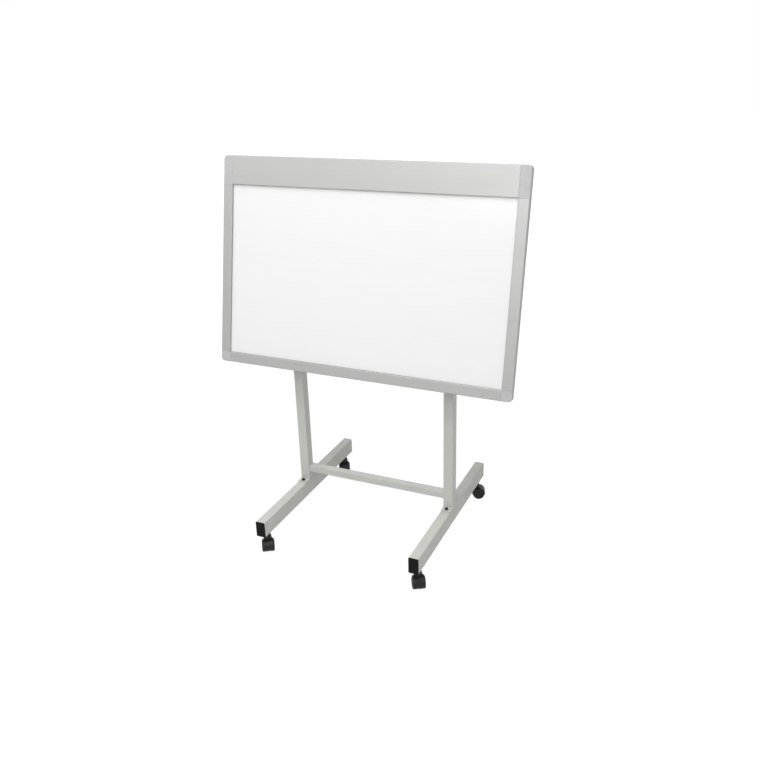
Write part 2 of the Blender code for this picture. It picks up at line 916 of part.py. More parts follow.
def make_wheel(name, side, seat):
    """A wheel whose blind bore opens towards the web, turned along Z from the web outwards."""
    part = add_part(name, bpy.data.meshes.new(name), "black_plastic", seat)
    bore = axle_radius + fit_gap
    face = wheel_width
    knuckle = wheel_edge_round * (1 - math.sqrt(0.5))
    dish_edge = wheel_radius - wheel_rim
    profile = [
        (0, face),
        (wheel_hub_radius, face),
        (wheel_hub_radius + wheel_dish, face - wheel_dish),
        (dish_edge - wheel_dish, face - wheel_dish),
        (dish_edge, face),
        (wheel_radius - wheel_edge_round, face),
        (wheel_radius - knuckle, face - knuckle),
        (wheel_radius, face - wheel_edge_round),
        (wheel_radius, wheel_edge_round / 2),
        (wheel_radius - wheel_edge_round / 2, 0),
        (bore, 0),
        (bore, wheel_bore_depth),
        (0, wheel_bore_depth),
    ]
    turned_part(part, profile, fine_sides, flat_down=True)
    part.location = (caster_trail, side * wheel_inner, axle_height)
    part.rotation_euler = (-side * math.radians(90), 0, 0)


def make_caster(name, across, along, heading):
    place = (across * post_x, along * (foot_length / 2 - caster_inset), 0)
    seat = make_pivot(name + "_caster_axis", place, (0, 0, heading))
    make_stem(name + "_stem", seat)
    make_hood(name + "_hood", seat)
    make_axle(name + "_axle", seat)
    make_wheel(name + "_wheel_a", -1, seat)
    make_wheel(name + "_wheel_b", 1, seat)


empty_scene()
parts = make_collection("whiteboard")
cutters = make_collection("cutters")
finishes = {
    "aluminium": make_material("aluminium", (0.62, 0.62, 0.61), 0.38, 0.9),
    "corner_plastic": make_material("corner_plastic", (0.6, 0.6, 0.6), 0.45, 0.0),
    "white_enamel": make_material("white_enamel", (0.88, 0.89, 0.88), 0.18, 0.0),
    "paper_honeycomb": make_material("paper_honeycomb", (0.42, 0.33, 0.22), 0.9, 0.0),
    "galvanised": make_material("galvanised", (0.55, 0.56, 0.57), 0.45, 0.9),
    "zinc_steel": make_material("zinc_steel", (0.6, 0.61, 0.62), 0.4, 0.9),
    "painted_steel": make_material("painted_steel", (0.53, 0.54, 0.51), 0.45, 0.0),
    "stand_paint": make_material("stand_paint", (0.53, 0.54, 0.51), 0.45, 0.0),
    "black_plastic": make_material("black_plastic", (0.015, 0.015, 0.017), 0.4, 0.0),
    "bright_bolt": make_material("bright_bolt", (0.6, 0.6, 0.6), 0.3, 1.0),
    "black_bolt": make_material("black_bolt", (0.02, 0.02, 0.02), 0.4, 0.6),
}
tilt_axis = make_pivot("tilt_axis", (0, 0, pivot_height), (-board_tilt, 0, 0))

make_panel()
make_level_profile("header_profile", header_height, header_inset, board_top, -1)
make_level_profile("bottom_profile", frame_width, panel_inset, board_bottom, 1)
for side, label in ((-1, "left"), (1, "right")):
    make_side_profile(side, label + "_profile")
    make_corner("top_" + label + "_corner", side, -1, header_height, header_inset)
    make_corner("bottom_" + label + "_corner", side, 1, frame_width, panel_inset)
    make_rail(side, label + "_rail")
    make_bracket(side, label + "_bracket")
    make_post(side, label + "_post")
    make_post_cap(side, label + "_post_cap")
    make_rivet(side, label + "_pivot_rivet")
    make_knob(side, label + "_lock_knob")
    make_foot(side, label + "_foot")
    make_foot_plugs(side, label + "_foot")
make_bar()
for name, across, along, heading in casters:
    make_caster(name, across, along, heading)
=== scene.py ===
# %% [markdown]
# A whiteboard that tilts between two posts and rolls on four twin-wheel casters.
#
# The engineering model comes first, as a fixed frame: every piece made here is measured from it,
# sits exactly where its solid sits and moves with the same body. Here the pieces get what a
# solid leaves out, such as fine edge rounds, weld beads, screw sockets and real finishes.

# %% Load the frame
import json
import math
import random

import bmesh
import bpy
from mathutils import Matrix, Vector


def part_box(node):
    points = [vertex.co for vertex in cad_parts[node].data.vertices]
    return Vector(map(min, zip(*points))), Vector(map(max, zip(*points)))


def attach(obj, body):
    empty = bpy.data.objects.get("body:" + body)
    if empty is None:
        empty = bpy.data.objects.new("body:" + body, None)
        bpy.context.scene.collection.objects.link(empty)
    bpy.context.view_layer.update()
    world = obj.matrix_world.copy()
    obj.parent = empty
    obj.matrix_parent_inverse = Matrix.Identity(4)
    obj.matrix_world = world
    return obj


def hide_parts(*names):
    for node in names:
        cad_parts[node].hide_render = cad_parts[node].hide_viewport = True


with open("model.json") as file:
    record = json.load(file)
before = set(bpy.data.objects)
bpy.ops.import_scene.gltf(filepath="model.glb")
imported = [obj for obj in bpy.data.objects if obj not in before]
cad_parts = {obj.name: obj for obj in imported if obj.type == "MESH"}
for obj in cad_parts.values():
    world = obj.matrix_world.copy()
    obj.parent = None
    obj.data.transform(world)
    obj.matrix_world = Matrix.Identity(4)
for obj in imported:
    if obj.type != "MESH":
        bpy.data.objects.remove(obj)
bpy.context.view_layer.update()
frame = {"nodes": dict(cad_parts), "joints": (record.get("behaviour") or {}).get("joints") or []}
joints = {joint["name"]: joint for joint in frame["joints"]}

# %% [markdown]
# The camera stands in front of the board's right end, a little higher than its top, and looks
# down at the stand. Its place came from fitting the model's straight edges to the photograph's.

# %% Camera
camera_place = (1.2667, -2.6678, 1.8773)
camera_turn = (67.3625, 1.6194, 24.1334)
lens_length = 38.6036
sensor_width = 36

camera = bpy.data.objects.new("camera", bpy.data.cameras.new("camera"))
bpy.context.scene.collection.objects.link(camera)
camera.data.lens = lens_length
camera.data.sensor_width = sensor_width
camera.location = camera_place
camera.rotation_euler = [math.radians(angle) for angle in camera_turn]
bpy.context.scene.camera = camera
bpy.context.scene.view_settings.view_transform = "Standard"
print("camera at", camera_place, "with a lens of", lens_length, "mm")

# %% [markdown]
# Shader maths reads best as plain sums. Wire wraps one output socket, so that 1 - mask or
# streaks * 0.3 + clouds adds the Math nodes by itself. Tree adds every other node: settings go
# in first, because some of them change which sockets a node has.

# %% Node helpers
class Wire:
    """An output socket that can stand in a sum."""

    def __init__(self, tree, socket):
        self.tree = tree
        self.socket = socket

    def join(self, operation, first, second):
        return self.tree.node("ShaderNodeMath", {"operation": operation}, {0: first, 1: second})

    def __add__(self, other):
        return self.join("ADD", self, other)

    def __sub__(self, other):
        return self.join("SUBTRACT", self, other)

    def __rsub__(self, other):
        return self.join("SUBTRACT", other, self)

    def __mul__(self, other):
        return self.join("MULTIPLY", self, other)

    __radd__ = __add__
    __rmul__ = __mul__

    def larger(self, other):
        return self.join("MAXIMUM", self, other)


class Tree:
    """The nodes of a material or a world."""

    def __init__(self, owner):
        owner.use_nodes = True
        self.tree = owner.node_tree
        self.owner = owner

    def node(self, kind, settings=None, values=None, output=0):
        made = self.tree.nodes.new(kind)
        for name, value in (settings or {}).items():
            setattr(made, name, value)
        for name, value in (values or {}).items():
            self.feed(made.inputs[name], value)
        return Wire(self, made.outputs[output])

    def feed(self, socket, value):
        if isinstance(value, Wire):
            self.tree.links.new(value.socket, socket)
        else:
            socket.default_value = value

    def blend(self, factor, first, second):
        """Mixes two colours: a Mix node takes them at sockets 6 and 7 and gives its output 2."""
        return self.node(
            "ShaderNodeMix", {"data_type": "RGBA"}, {0: factor, 6: first, 7: second}, 2
        )

    def between(self, value, start, end, low=0.0, high=1.0):
        """Slides from low to high while the value goes from start to end."""
        return self.node(
            "ShaderNodeMapRange", {}, {"Value": value, 1: start, 2: end, 3: low, 4: high}
        )


def colour(red, green, blue):
    return (red, green, blue, 1)


# %% [markdown]
# The set is a plain white one. A ray from the camera, or one mirrored by metal, sees the world
# and the floor as white, while the light that falls on the object is an even, softer grey. The
# floor mixes in a little of its own shaded surface, which keeps the shadow under the wheels.

# %% World and floor
def sees_backdrop(tree):
    """1 for rays that look at the backdrop, and 0 for those that only carry light."""
    looks = tree.node("ShaderNodeLightPath", output="Is Camera Ray")
    mirrored = tree.node("ShaderNodeLightPath", output="Is Glossy Ray")
    through = tree.node("ShaderNodeLightPath", output="Is Transmission Ray")
    return looks.larger(mirrored).larger(through)


sky_top = colour(0.78, 0.78, 0.78)
sky_low = colour(0.02, 0.02, 0.02)
sky_start = -0.2
sky_end = 0.9
white = colour(1, 1, 1)

world = bpy.data.worlds.new("studio")
bpy.context.scene.world = world
sky = Tree(world)
direction = sky.node("ShaderNodeTexCoord", output="Generated")
height = sky.node("ShaderNodeSeparateXYZ", {}, {0: direction}, "Z")
ambient = sky.blend(sky.between(height, sky_start, sky_end), sky_low, sky_top)
seen = sky.blend(sees_backdrop(sky), ambient, white)
sky.feed(sky.tree.nodes["Background"].inputs["Color"], seen)

floor_size = 40
floor_grey = colour(0.71, 0.71, 0.71)
floor_roughness = 0.9
floor_gloss = 0.1
floor_white_share = 0.85
floor_glow = 1.1
shadow_reach = 1.2
fade_reach = 3.0
floor_shape = bmesh.new()
bmesh.ops.create_grid(floor_shape, x_segments=1, y_segments=1, size=floor_size / 2)
floor_mesh = bpy.data.meshes.new("floor")
floor_shape.to_mesh(floor_mesh)
floor_shape.free()
floor = bpy.data.objects.new("floor", floor_mesh)
bpy.context.scene.collection.objects.link(floor)

ground = Tree(bpy.data.materials.new("floor_paint"))
ground_shader = ground.tree.nodes["Principled BSDF"]
ground_shader.inputs["Base Color"].default_value = floor_grey
ground_shader.inputs["Roughness"].default_value = floor_roughness
ground_shader.inputs["Specular IOR Level"].default_value = floor_gloss
glow = ground.node("ShaderNodeEmission", {}, {"Color": white, "Strength": floor_glow})
lit = Wire(ground, ground_shader.outputs[0])
spot = ground.node("ShaderNodeTexCoord", output="Object")
distance = ground.node("ShaderNodeVectorMath", {"operation": "LENGTH"}, {0: spot}, "Value")
share = ground.between(distance, shadow_reach, fade_reach, floor_white_share, 1.0)
glowing = sees_backdrop(ground) * share
surface = ground.node("ShaderNodeMixShader", {}, {0: glowing, 1: lit, 2: glow})
ground.feed(ground.tree.nodes["Material Output"].inputs["Surface"], surface)
floor_mesh.materials.append(ground.owner)
print("floor", floor_size, "m wide")

# %% [markdown]
# Five soft lamps light the object. Two high ones in front throw the long shadow of the board
# over the rear of the feet. A wide, low one in front is what the satin frame mirrors, brightest
# at the header's right end, and one on the left does the same for the top of the left profile.
# A weak one behind keeps the back readable when the camera goes round.

# %% Lamps
look_at = Vector((0, 0, 0.9))
lamps = (
    ("high_front", (0.4, -1.9, 3.9), 1.8, 1.4, 32),
    ("top_front", (0.3, -1.2, 4.6), 2.0, 1.4, 26.5),
    ("wide_front", (0.3, -3.6, 2.9), 2.6, 1.6, 40),
    ("left_front", (-2.4, -2.8, 3.2), 1.6, 1.6, 20),
    ("behind", (-1.2, 3.4, 1.3), 2.0, 1.2, 1.5),
)
for name, place, width, tall, power in lamps:
    lamp = bpy.data.lights.new(name, "AREA")
    lamp.shape = "RECTANGLE"
    lamp.size = width
    lamp.size_y = tall
    lamp.energy = power
    holder = bpy.data.objects.new(name, lamp)
    holder.location = place
    holder.rotation_euler = (look_at - Vector(place)).to_track_quat("-Z", "Y").to_euler()
    holder.visible_camera = False
    bpy.context.scene.collection.objects.link(holder)
    print("lamp", name, power, "W")

# %% [markdown]
# Finishes read Object coordinates through a Mapping node set to Texture, whose scale is then
# the real size, in metres, of one blob of noise. A grain that runs along a profile is simply
# noise that is 0.3 m long and under a millimetre wide.

# %% Material helpers
board_lean = math.radians(-joints["board_tilt"]["range_deg"][0])
pivot = Vector(joints["board_tilt"]["pos_m"])
board_turn = (-board_lean, 0, 0)
upright = (0, 0, 0)
finishes = {}


class Finish(Tree):
    """A material on a Principled shader, with noise at real sizes."""

    def __init__(self, name, **constants):
        super().__init__(bpy.data.materials.new(name))
        finishes[name] = self.owner
        self.shader = self.tree.nodes["Principled BSDF"]
        self.place = self.node("ShaderNodeTexCoord", output="Object")
        for socket, value in constants.items():
            self.shader.inputs[socket.replace("_", " ")].default_value = value

    def spot(self, size, turn=upright):
        """Object coordinates in units of one feature's size."""
        return self.node(
            "ShaderNodeMapping", {"vector_type": "TEXTURE"},
            {"Vector": self.place, "Location": pivot, "Rotation": turn, "Scale": size},
        )

    def noise(self, size, turn=upright, detail=2.0):
        where = self.spot(size, turn)
        return self.node(
            "ShaderNodeTexNoise", {}, {"Vector": where, "Scale": 1.0, "Detail": detail}
        )

    def blobs(self, size, detail=2.0):
        return self.noise((size, size, size), upright, detail)

    def set(self, **inputs):
        for socket, value in inputs.items():
            self.feed(self.shader.inputs[socket.replace("_", " ")], value)

    def bump(self, height, depth):
        """Gives the surface a relief of that depth in metres."""
        normal = self.node(
            "ShaderNodeBump", {}, {"Height": height, "Distance": depth, "Strength": 1.0}
        )
        self.feed(self.shader.inputs["Normal"], normal)


print("patterns are centred on the pivot at", tuple(pivot))

# %% [markdown]
# The frame is satin anodised aluminium. The skin scatters light softly, so it is only partly
# metallic, and the die that the profile was pressed through leaves a fine grain along it. The
# grey specular tint keeps a side that is seen at a shallow angle from turning into a mirror.
# There are two versions, because the grain of an upright profile runs up the leaning board.

# %% Anodised aluminium
grain_length = 0.3
grain_width = 0.0007
band_width = 9


def anodised(name, grain):
    finish = Finish(name, Specular_IOR_Level=0.5, Specular_Tint=colour(0.55, 0.55, 0.55))
    fine = finish.noise(grain, board_turn, 3.0)
    wider = [size * band_width if size < grain_length else size for size in grain]
    bands = finish.noise(wider, board_turn)
    clouds = finish.blobs(0.16)
    tone = fine * 0.5 + bands * 0.15 + clouds * 0.35
    shade = finish.between(tone, 0.35, 0.65)
    finish.set(
        Base_Color=finish.blend(shade, colour(0.405, 0.407, 0.399), colour(0.435, 0.437, 0.429)),
        Metallic=finish.between(clouds, 0.3, 0.7, 0.64, 0.67),
        Roughness=finish.between(fine, 0.3, 0.7, 0.42, 0.48),
    )
    finish.bump(fine, 0.00002)


anodised("aluminium_level", (grain_length, grain_width, grain_width))
anodised("aluminium_upright", (grain_width, grain_width, grain_length))

# %% [markdown]
# The corner pieces are moulded in silver-grey plastic. It has no grain, so the light falls on
# it evenly, and it stands out darker than the header and lighter than the bottom profile.

# %% Plastics
def moulded(name, dark, light, roughness, gloss):
    finish = Finish(name, Specular_IOR_Level=gloss)
    texture = finish.blobs(0.0007, 1.0)
    flow = finish.blobs(0.035, 3.0)
    finish.set(
        Base_Color=finish.blend(finish.between(flow, 0.35, 0.65), dark, light),
        Roughness=finish.between(
            flow * 0.6 + texture * 0.4, 0.35, 0.65, roughness - 0.05, roughness + 0.06
        ),
    )
    finish.bump(texture, 0.00003)


moulded("corner_plastic", colour(0.447, 0.452, 0.450), colour(0.473, 0.477, 0.473), 0.46, 0.4)
moulded("black_plastic", colour(0.003, 0.003, 0.0035), colour(0.005, 0.005, 0.0055), 0.5, 0.11)
moulded("caster_nylon", colour(0.006, 0.006, 0.006), colour(0.010, 0.010, 0.0095), 0.40, 0.3)

# %% [markdown]
# The treads are a slightly softer grade that picks up dust and scuffs where it rolls.

# %% Treads
tread = Finish("caster_tread", Specular_IOR_Level=0.3)
scuffs = tread.between(tread.blobs(0.004, 5.0), 0.5, 0.72)
tread.set(
    Base_Color=tread.blend(scuffs, colour(0.012, 0.012, 0.012), colour(0.05, 0.048, 0.044)),
    Roughness=tread.between(scuffs, 0.0, 1.0, 0.55, 0.8),
)
tread.bump(tread.blobs(0.0012), 0.00004)

# %% [markdown]
# The writing face is white enamel on steel sheet: glossy, with a very faint orange peel. Years
# of wiping leave a haze that shows only in the gloss, so it goes into the roughness.

# %% White enamel
enamel = Finish("white_enamel", Specular_IOR_Level=0.5)
wiping = enamel.noise((0.34, 0.05, 0.045), board_turn, 4.0)
haze = enamel.between(wiping, 0.45, 0.7)
ghosts = enamel.between(enamel.noise((0.09, 0.02, 0.03), board_turn, 5.0), 0.6, 0.78)
enamel.set(
    Base_Color=enamel.blend(
        ghosts * 0.35 + haze * 0.3, colour(0.812, 0.819, 0.811), colour(0.782, 0.791, 0.793)
    ),
    Roughness=enamel.between(haze + ghosts, 0.0, 1.4, 0.13, 0.28),
)
enamel.bump(enamel.blobs(0.005), 0.00001)

# %% [markdown]
# The stand is powder coated in a warm light grey. Powder melts into a skin with a fine orange
# peel, and its gloss drifts a little. Dust settles on it low down, in patches: 1 - height keeps
# the dust near the floor.

# %% Powder coat
dust_thick = 0.08
dust_end = 0.3


def powder_coat(name):
    finish = Finish(name, Specular_IOR_Level=0.5)
    peel = finish.blobs(0.0016, 1.0)
    clouds = finish.blobs(0.12, 3.0)
    height = finish.node("ShaderNodeSeparateXYZ", {}, {0: finish.place}, "Z")
    settled = 1 - finish.between(height, dust_thick, dust_end)
    dust = settled * finish.between(finish.blobs(0.02, 5.0), 0.4, 0.7)
    paint = finish.blend(
        finish.between(clouds, 0.35, 0.65), colour(0.53, 0.541, 0.505), colour(0.566, 0.577, 0.541)
    )
    finish.set(
        Base_Color=finish.blend(dust * 0.25, paint, colour(0.40, 0.385, 0.35)),
        Roughness=finish.between(clouds, 0.3, 0.7, 0.38, 0.5) + dust * 0.2,
    )
    finish.bump(peel, 0.00005)


powder_coat("stand_paint")
powder_coat("painted_steel")

# %% [markdown]
# Bare steel pieces differ by their plating. Hot-dip zinc freezes in crystals, which a Voronoi
# cell pattern gives: each cell mirrors the light a little differently. Bright zinc is cloudy
# and even, with a faint yellow and blue tint, and black oxide is dark with rubbed spots.

# %% Plated steel
crystal_size = 0.014


def spangled(name):
    finish = Finish(name)
    where = finish.spot((crystal_size, crystal_size, crystal_size))
    cells = finish.node("ShaderNodeTexVoronoi", {}, {"Vector": where, "Scale": 1.0}, "Color")
    crystal = finish.node("ShaderNodeSeparateXYZ", {}, {0: cells}, "X")
    rolled = finish.noise((0.0012, 0.0012, 0.4), board_turn)
    clouds = finish.blobs(0.2)
    tone = crystal * 0.5 + rolled * 0.2 + clouds * 0.3
    finish.set(
        Base_Color=finish.blend(tone, colour(0.42, 0.43, 0.44), colour(0.58, 0.59, 0.6)),
        Metallic=finish.between(clouds, 0.3, 0.7, 0.8, 0.92),
        Roughness=finish.between(crystal * 0.7 + rolled * 0.3, 0.2, 0.8, 0.36, 0.54),
    )
    finish.bump(crystal * 0.4 + rolled * 0.6, 0.00003)


def plated(name, dark, light, metal, roughness, size=0.01):
    finish = Finish(name)
    clouds = finish.blobs(size, 4.0)
    marks = finish.blobs(size / 12, 2.0)
    finish.set(
        Base_Color=finish.blend(finish.between(clouds, 0.3, 0.7), dark, light),
        Metallic=finish.between(clouds, 0.3, 0.7, metal - 0.08, metal),
        Roughness=finish.between(marks + clouds, 0.7, 1.3, roughness - 0.05, roughness + 0.1),
    )
    finish.bump(marks, 0.00001)


spangled("galvanised")
plated("zinc_steel", colour(0.44, 0.45, 0.46), colour(0.55, 0.555, 0.55), 0.9, 0.36, 0.05)
plated("bright_bolt", colour(0.52, 0.53, 0.54), colour(0.62, 0.61, 0.57), 0.95, 0.26)
plated("black_bolt", colour(0.012, 0.012, 0.013), colour(0.03, 0.029, 0.028), 0.5, 0.42)
plated("paper_honeycomb", colour(0.36, 0.28, 0.18), colour(0.46, 0.37, 0.26), 0.08, 0.9)
print("finishes", sorted(finishes))

# %% [markdown]
# Each shape is a bmesh that starts small and is pushed, bevelled or spun into form. dress()
# turns it into a finished piece: it stays at the origin with its place in its mesh, rides on
# its body and stands for the solid that it replaces. The Weighted Normal modifier keeps wide
# flat faces flat in shading, although small rounds are smoothed beside them.

# %% Dressing a piece
weld_distance = 1e-6
smooth_limit = math.radians(32)


def dress(name, shape, finish, body, replaced=()):
    """Makes a bmesh a piece of the model. A second finish may be in use on its faces."""
    names = [finish] if isinstance(finish, str) else finish
    mesh = bpy.data.meshes.new(name)
    shape.to_mesh(mesh)
    shape.free()
    mesh.shade_smooth()
    mesh.set_sharp_from_angle(angle=smooth_limit)
    for each in names:
        mesh.materials.append(finishes[each])
    piece = bpy.data.objects.new(name, mesh)
    bpy.context.scene.collection.objects.link(piece)
    flatten = piece.modifiers.new("flat_faces", "WEIGHTED_NORMAL")
    flatten.mode = "FACE_AREA"
    flatten.keep_sharp = True
    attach(piece, body)
    if replaced:
        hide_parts(*replaced)
    print("piece", name, len(mesh.polygons), "faces")


print("points closer than", weld_distance, "m count as one")

# %% [markdown]
# A solid's own corners say where its piece goes. A shape is made upright at the origin, and a
# matrix lays it in place. Two directions come back often and have names: sideways, through the
# stand, and backwards, along a foot or through the board.

# %% Measuring and placing
def box_in(node, space=Matrix()):
    """A node's lowest and highest corner, in the frame of a matrix."""
    back = space.inverted()
    spots = [back @ vert.co for vert in frame["nodes"][node].data.vertices]
    low = Vector([min(spot[axis] for spot in spots) for axis in range(3)])
    high = Vector([max(spot[axis] for spot in spots) for axis in range(3)])
    return low, high


def placed(shape, space=Matrix()):
    """Moves a whole shape by a matrix and makes all its faces point outwards."""
    bmesh.ops.transform(shape, matrix=space, verts=shape.verts)
    bmesh.ops.recalc_face_normals(shape, faces=shape.faces)
    return shape


def axes(across, up, origin):
    """The matrix that lays X along across, Y along up and Z square to both."""
    first, second = Vector(across), Vector(up)
    turn = Matrix((first, second, first.cross(second))).transposed().to_4x4()
    return Matrix.Translation(origin) @ turn


def sideways(origin):
    """The matrix that lays a shape's Z to the right, its X back and its Y up."""
    return axes((0, 1, 0), (0, 0, 1), origin)


def backwards(origin):
    """The matrix that lays a shape's Z to the back, with its Y up."""
    return axes((-1, 0, 0), (0, 0, 1), origin)


print("the board is", round(box_in("writing_panel")[1].x * 2, 3), "m wide inside its frame")

# %% [markdown]
# Sheet, tube and plate all start as one flat face. A vertex bevel rounds its corners while it
# is still flat, which is simpler than rounding long edges later, and an extrusion gives it its
# length or thickness.

# %% Outlines, plates and tubes
def push(shape, faces, move):
    """Extrudes faces by a vector and gives back the faces that moved."""
    grown = bmesh.ops.extrude_face_region(shape, geom=faces)["geom"]
    moved = [item for item in grown if isinstance(item, bmesh.types.BMVert)]
    bmesh.ops.translate(shape, vec=move, verts=moved)
    return [item for item in grown if isinstance(item, bmesh.types.BMFace)]


def flat_face(points):
    """A new bmesh that holds one flat face."""
    shape = bmesh.new()
    shape.faces.new([shape.verts.new((first, second, 0)) for first, second in points])
    return shape


def round_verts(shape, verts, radius, segments=5):
    bmesh.ops.bevel(
        shape, geom=verts, offset=radius, segments=segments, profile=0.5,
        affect="VERTICES", material=-1,
    )


def round_edges(shape, edges, radius, segments):
    bmesh.ops.bevel(
        shape, geom=edges, offset=radius, segments=segments, profile=0.5,
        affect="EDGES", material=-1,
    )


def round_corners(outline, *rounds):
    """Rounds a flat outline: each entry holds a radius and the corners that get it."""
    for radius, *spots in rounds:
        verts = [vert for vert in outline.verts
                 if any((vert.co.xy - Vector(spot)).length < weld_distance for spot in spots)]
        round_verts(outline, verts, radius)


def rounded_face(width, height, radius):
    """One face in X and Y with its four corners rounded, its middle at the origin."""
    shape = bmesh.new()
    bmesh.ops.create_grid(shape, x_segments=1, y_segments=1, size=0.5)
    bmesh.ops.scale(shape, vec=(width, height, 1), verts=shape.verts)
    round_verts(shape, shape.verts[:], radius, 6)
    return shape


def plate(width, height, thickness, radius, edge):
    """A flat plate from Z = 0, with rounded corners and softened rims."""
    shape = rounded_face(width, height, radius)
    push(shape, shape.faces[:], (0, 0, thickness))
    bmesh.ops.recalc_face_normals(shape, faces=shape.faces)
    rim = [each for each in shape.edges
           if abs(each.verts[0].co.z - each.verts[1].co.z) < weld_distance]
    round_edges(shape, rim, edge, 2)
    return shape


def tube(width, height, length, wall, radius):
    """A rectangular tube along Z from 0, open at both ends."""
    shape = rounded_face(width, height, radius)
    ring = bmesh.ops.inset_region(
        shape, faces=shape.faces[:], thickness=wall, use_even_offset=True, use_boundary=True
    )["faces"]
    middle = [face for face in shape.faces if face not in ring]
    bmesh.ops.delete(shape, geom=middle, context="FACES")
    push(shape, shape.faces[:], (0, 0, length))
    bmesh.ops.recalc_face_normals(shape, faces=shape.faces)
    return shape


print("a tube's corner gets", len(rounded_face(2, 2, 0.5).verts) // 4 - 1, "facets")

# %% [markdown]
# Round parts are spun from half an outline, as on a lathe. Slots and openings are cut with a
# Boolean modifier, whose result is read back into a bmesh.

# %% Turned shapes and cuts
def arc(centre, radius, start, end, steps):
    """Points on an arc, with its angles in degrees."""
    angles = [math.radians(start + (end - start) * step / steps) for step in range(steps + 1)]
    return [(centre[0] + radius * math.cos(turn), centre[1] + radius * math.sin(turn))
            for turn in angles]


def turned(profile, steps):
    """Spins a line of (radius, height) points round Z."""
    shape = bmesh.new()
    line = [shape.verts.new((radius, 0, height)) for radius, height in profile]
    edges = [shape.edges.new(pair) for pair in zip(line, line[1:])]
    bmesh.ops.spin(
        shape, geom=line + edges, cent=(0, 0, 0), axis=(0, 0, 1), dvec=(0, 0, 0),
        angle=2 * math.pi, steps=steps, use_merge=True, use_duplicate=False,
    )
    bmesh.ops.remove_doubles(shape, verts=shape.verts, dist=weld_distance)
    bmesh.ops.recalc_face_normals(shape, faces=shape.faces)
    return shape


def with_tool(shape, tool, operation):
    """Cuts, joins or crosses one bmesh with another through a Boolean modifier."""
    holders = []
    for each in (shape, tool):
        mesh = bpy.data.meshes.new("work")
        each.to_mesh(mesh)
        each.free()
        holder = bpy.data.objects.new("work", mesh)
        bpy.context.scene.collection.objects.link(holder)
        holders.append(holder)
    step = holders[0].modifiers.new("tool", "BOOLEAN")
    step.operation = operation
    step.object = holders[1]
    step.solver = "EXACT"
    result = bmesh.new()
    result.from_object(holders[0], bpy.context.evaluated_depsgraph_get())
    for holder in holders:
        bpy.data.objects.remove(holder)
    bmesh.ops.remove_doubles(result, verts=result.verts, dist=weld_distance)
    return result


def block(low, high):
    """A plain box between two corners, used as a tool."""
    low, high = Vector(low), Vector(high)
    shape = bmesh.new()
    bmesh.ops.create_cube(shape, size=1)
    bmesh.ops.scale(shape, vec=high - low, verts=shape.verts)
    bmesh.ops.translate(shape, vec=(low + high) / 2, verts=shape.verts)
    return shape


def join_shapes(*shapes):
    """Puts several closed shapes into one bmesh."""
    together = bmesh.new()
    for shape in shapes:
        mesh = bpy.data.meshes.new("work")
        shape.to_mesh(mesh)
        shape.free()
        together.from_mesh(mesh)
        bpy.data.meshes.remove(mesh)
    return together


print("a turned disc has", len(turned([(0, 0), (1, 0), (1, 1), (0, 1)], 32).faces), "faces")

# %% [markdown]
# The board leans back on its pivots, so its pieces are made in the board's own frame, X to the
# right, Y to the back and Z up its face, and one matrix then leans them into place. The same
# matrix turned round gives every node's size in that frame.

# %% The board's frame
board_space = Matrix.Translation(pivot) @ Matrix.Rotation(-board_lean, 4, "X")
header_low, header_high = box_in("header_profile", board_space)
bottom_low, bottom_high = box_in("bottom_profile", board_space)
left_low, left_high = box_in("left_profile", board_space)
right_high = box_in("right_profile", board_space)[1]
panel_low, panel_high = box_in("writing_panel", board_space)
board_front = header_low.y
board_thickness = header_high.y - header_low.y
frame_width = left_high.x - left_low.x
header_height = header_high.z - header_low.z
seam = bottom_low.x - left_high.x
print("frame width", round(frame_width, 4), "header", round(header_height, 4))

# %% [markdown]
# A profile is a thin-walled channel pressed through a die: a flat front, a lip that steps back
# to the panel, and a flange behind that holds it. Its section is one face, rounded at the
# bends with a vertex bevel and then extruded along the profile.

# %% Frame profiles
profile_wall = 0.0016
recess_depth = 0.009
edge_radius = 0.0034
lip_radius = 0.0030
flange_edge = 0.0006
flange_cover = 0.012
panel_inset = panel_low.x - left_low.x
header_inset = header_high.z - panel_high.z


def profile_section(width, flange):
    """X is inward from the outer edge and Y is back from the front."""
    back = board_thickness
    inner = profile_wall
    shape = flat_face((
        (0, 0), (width, 0), (width, recess_depth), (width - inner, recess_depth),
        (width - inner, inner), (inner, inner), (inner, back - inner),
        (flange, back - inner), (flange, back), (0, back),
    ))
    round_corners(
        shape,
        (edge_radius, (0, 0), (0, back)),
        (edge_radius - inner, (inner, inner), (inner, back - inner)),
        (lip_radius, (width, 0)),
        (lip_radius - inner, (width - inner, inner)),
        (flange_edge, (flange, back)),
    )
    return shape


def make_profile(name, finish, width, inset, across, origin, length):
    shape = profile_section(width, inset + flange_cover)
    push(shape, shape.faces[:], (0, 0, length))
    place = axes(across, (0, 1, 0), origin)
    dress(name + "_extrusion", placed(shape, board_space @ place), finish, "board", [name])


level_length = header_high.x - header_low.x
upright_length = left_high.z - left_low.z
make_profile(
    "header_profile", "aluminium_level", header_height, header_inset,
    (0, 0, -1), (header_low.x, board_front, header_high.z), level_length,
)
make_profile(
    "bottom_profile", "aluminium_level", frame_width, panel_inset,
    (0, 0, 1), (bottom_high.x, board_front, bottom_low.z), level_length,
)
make_profile(
    "left_profile", "aluminium_upright", frame_width, panel_inset,
    (1, 0, 0), (left_low.x, board_front, left_low.z), upright_length,
)
make_profile(
    "right_profile", "aluminium_upright", frame_width, panel_inset,
    (-1, 0, 0), (right_high.x, board_front, right_high.z), upright_length,
)

# %% [markdown]
# A corner piece is a moulded block with a generous round at the board's corner. It is made for
# the lower left, with its outer corner at the origin, and mirrored into the other three. Behind,
# a pocket takes the panel and a notch lets the back sheet through.

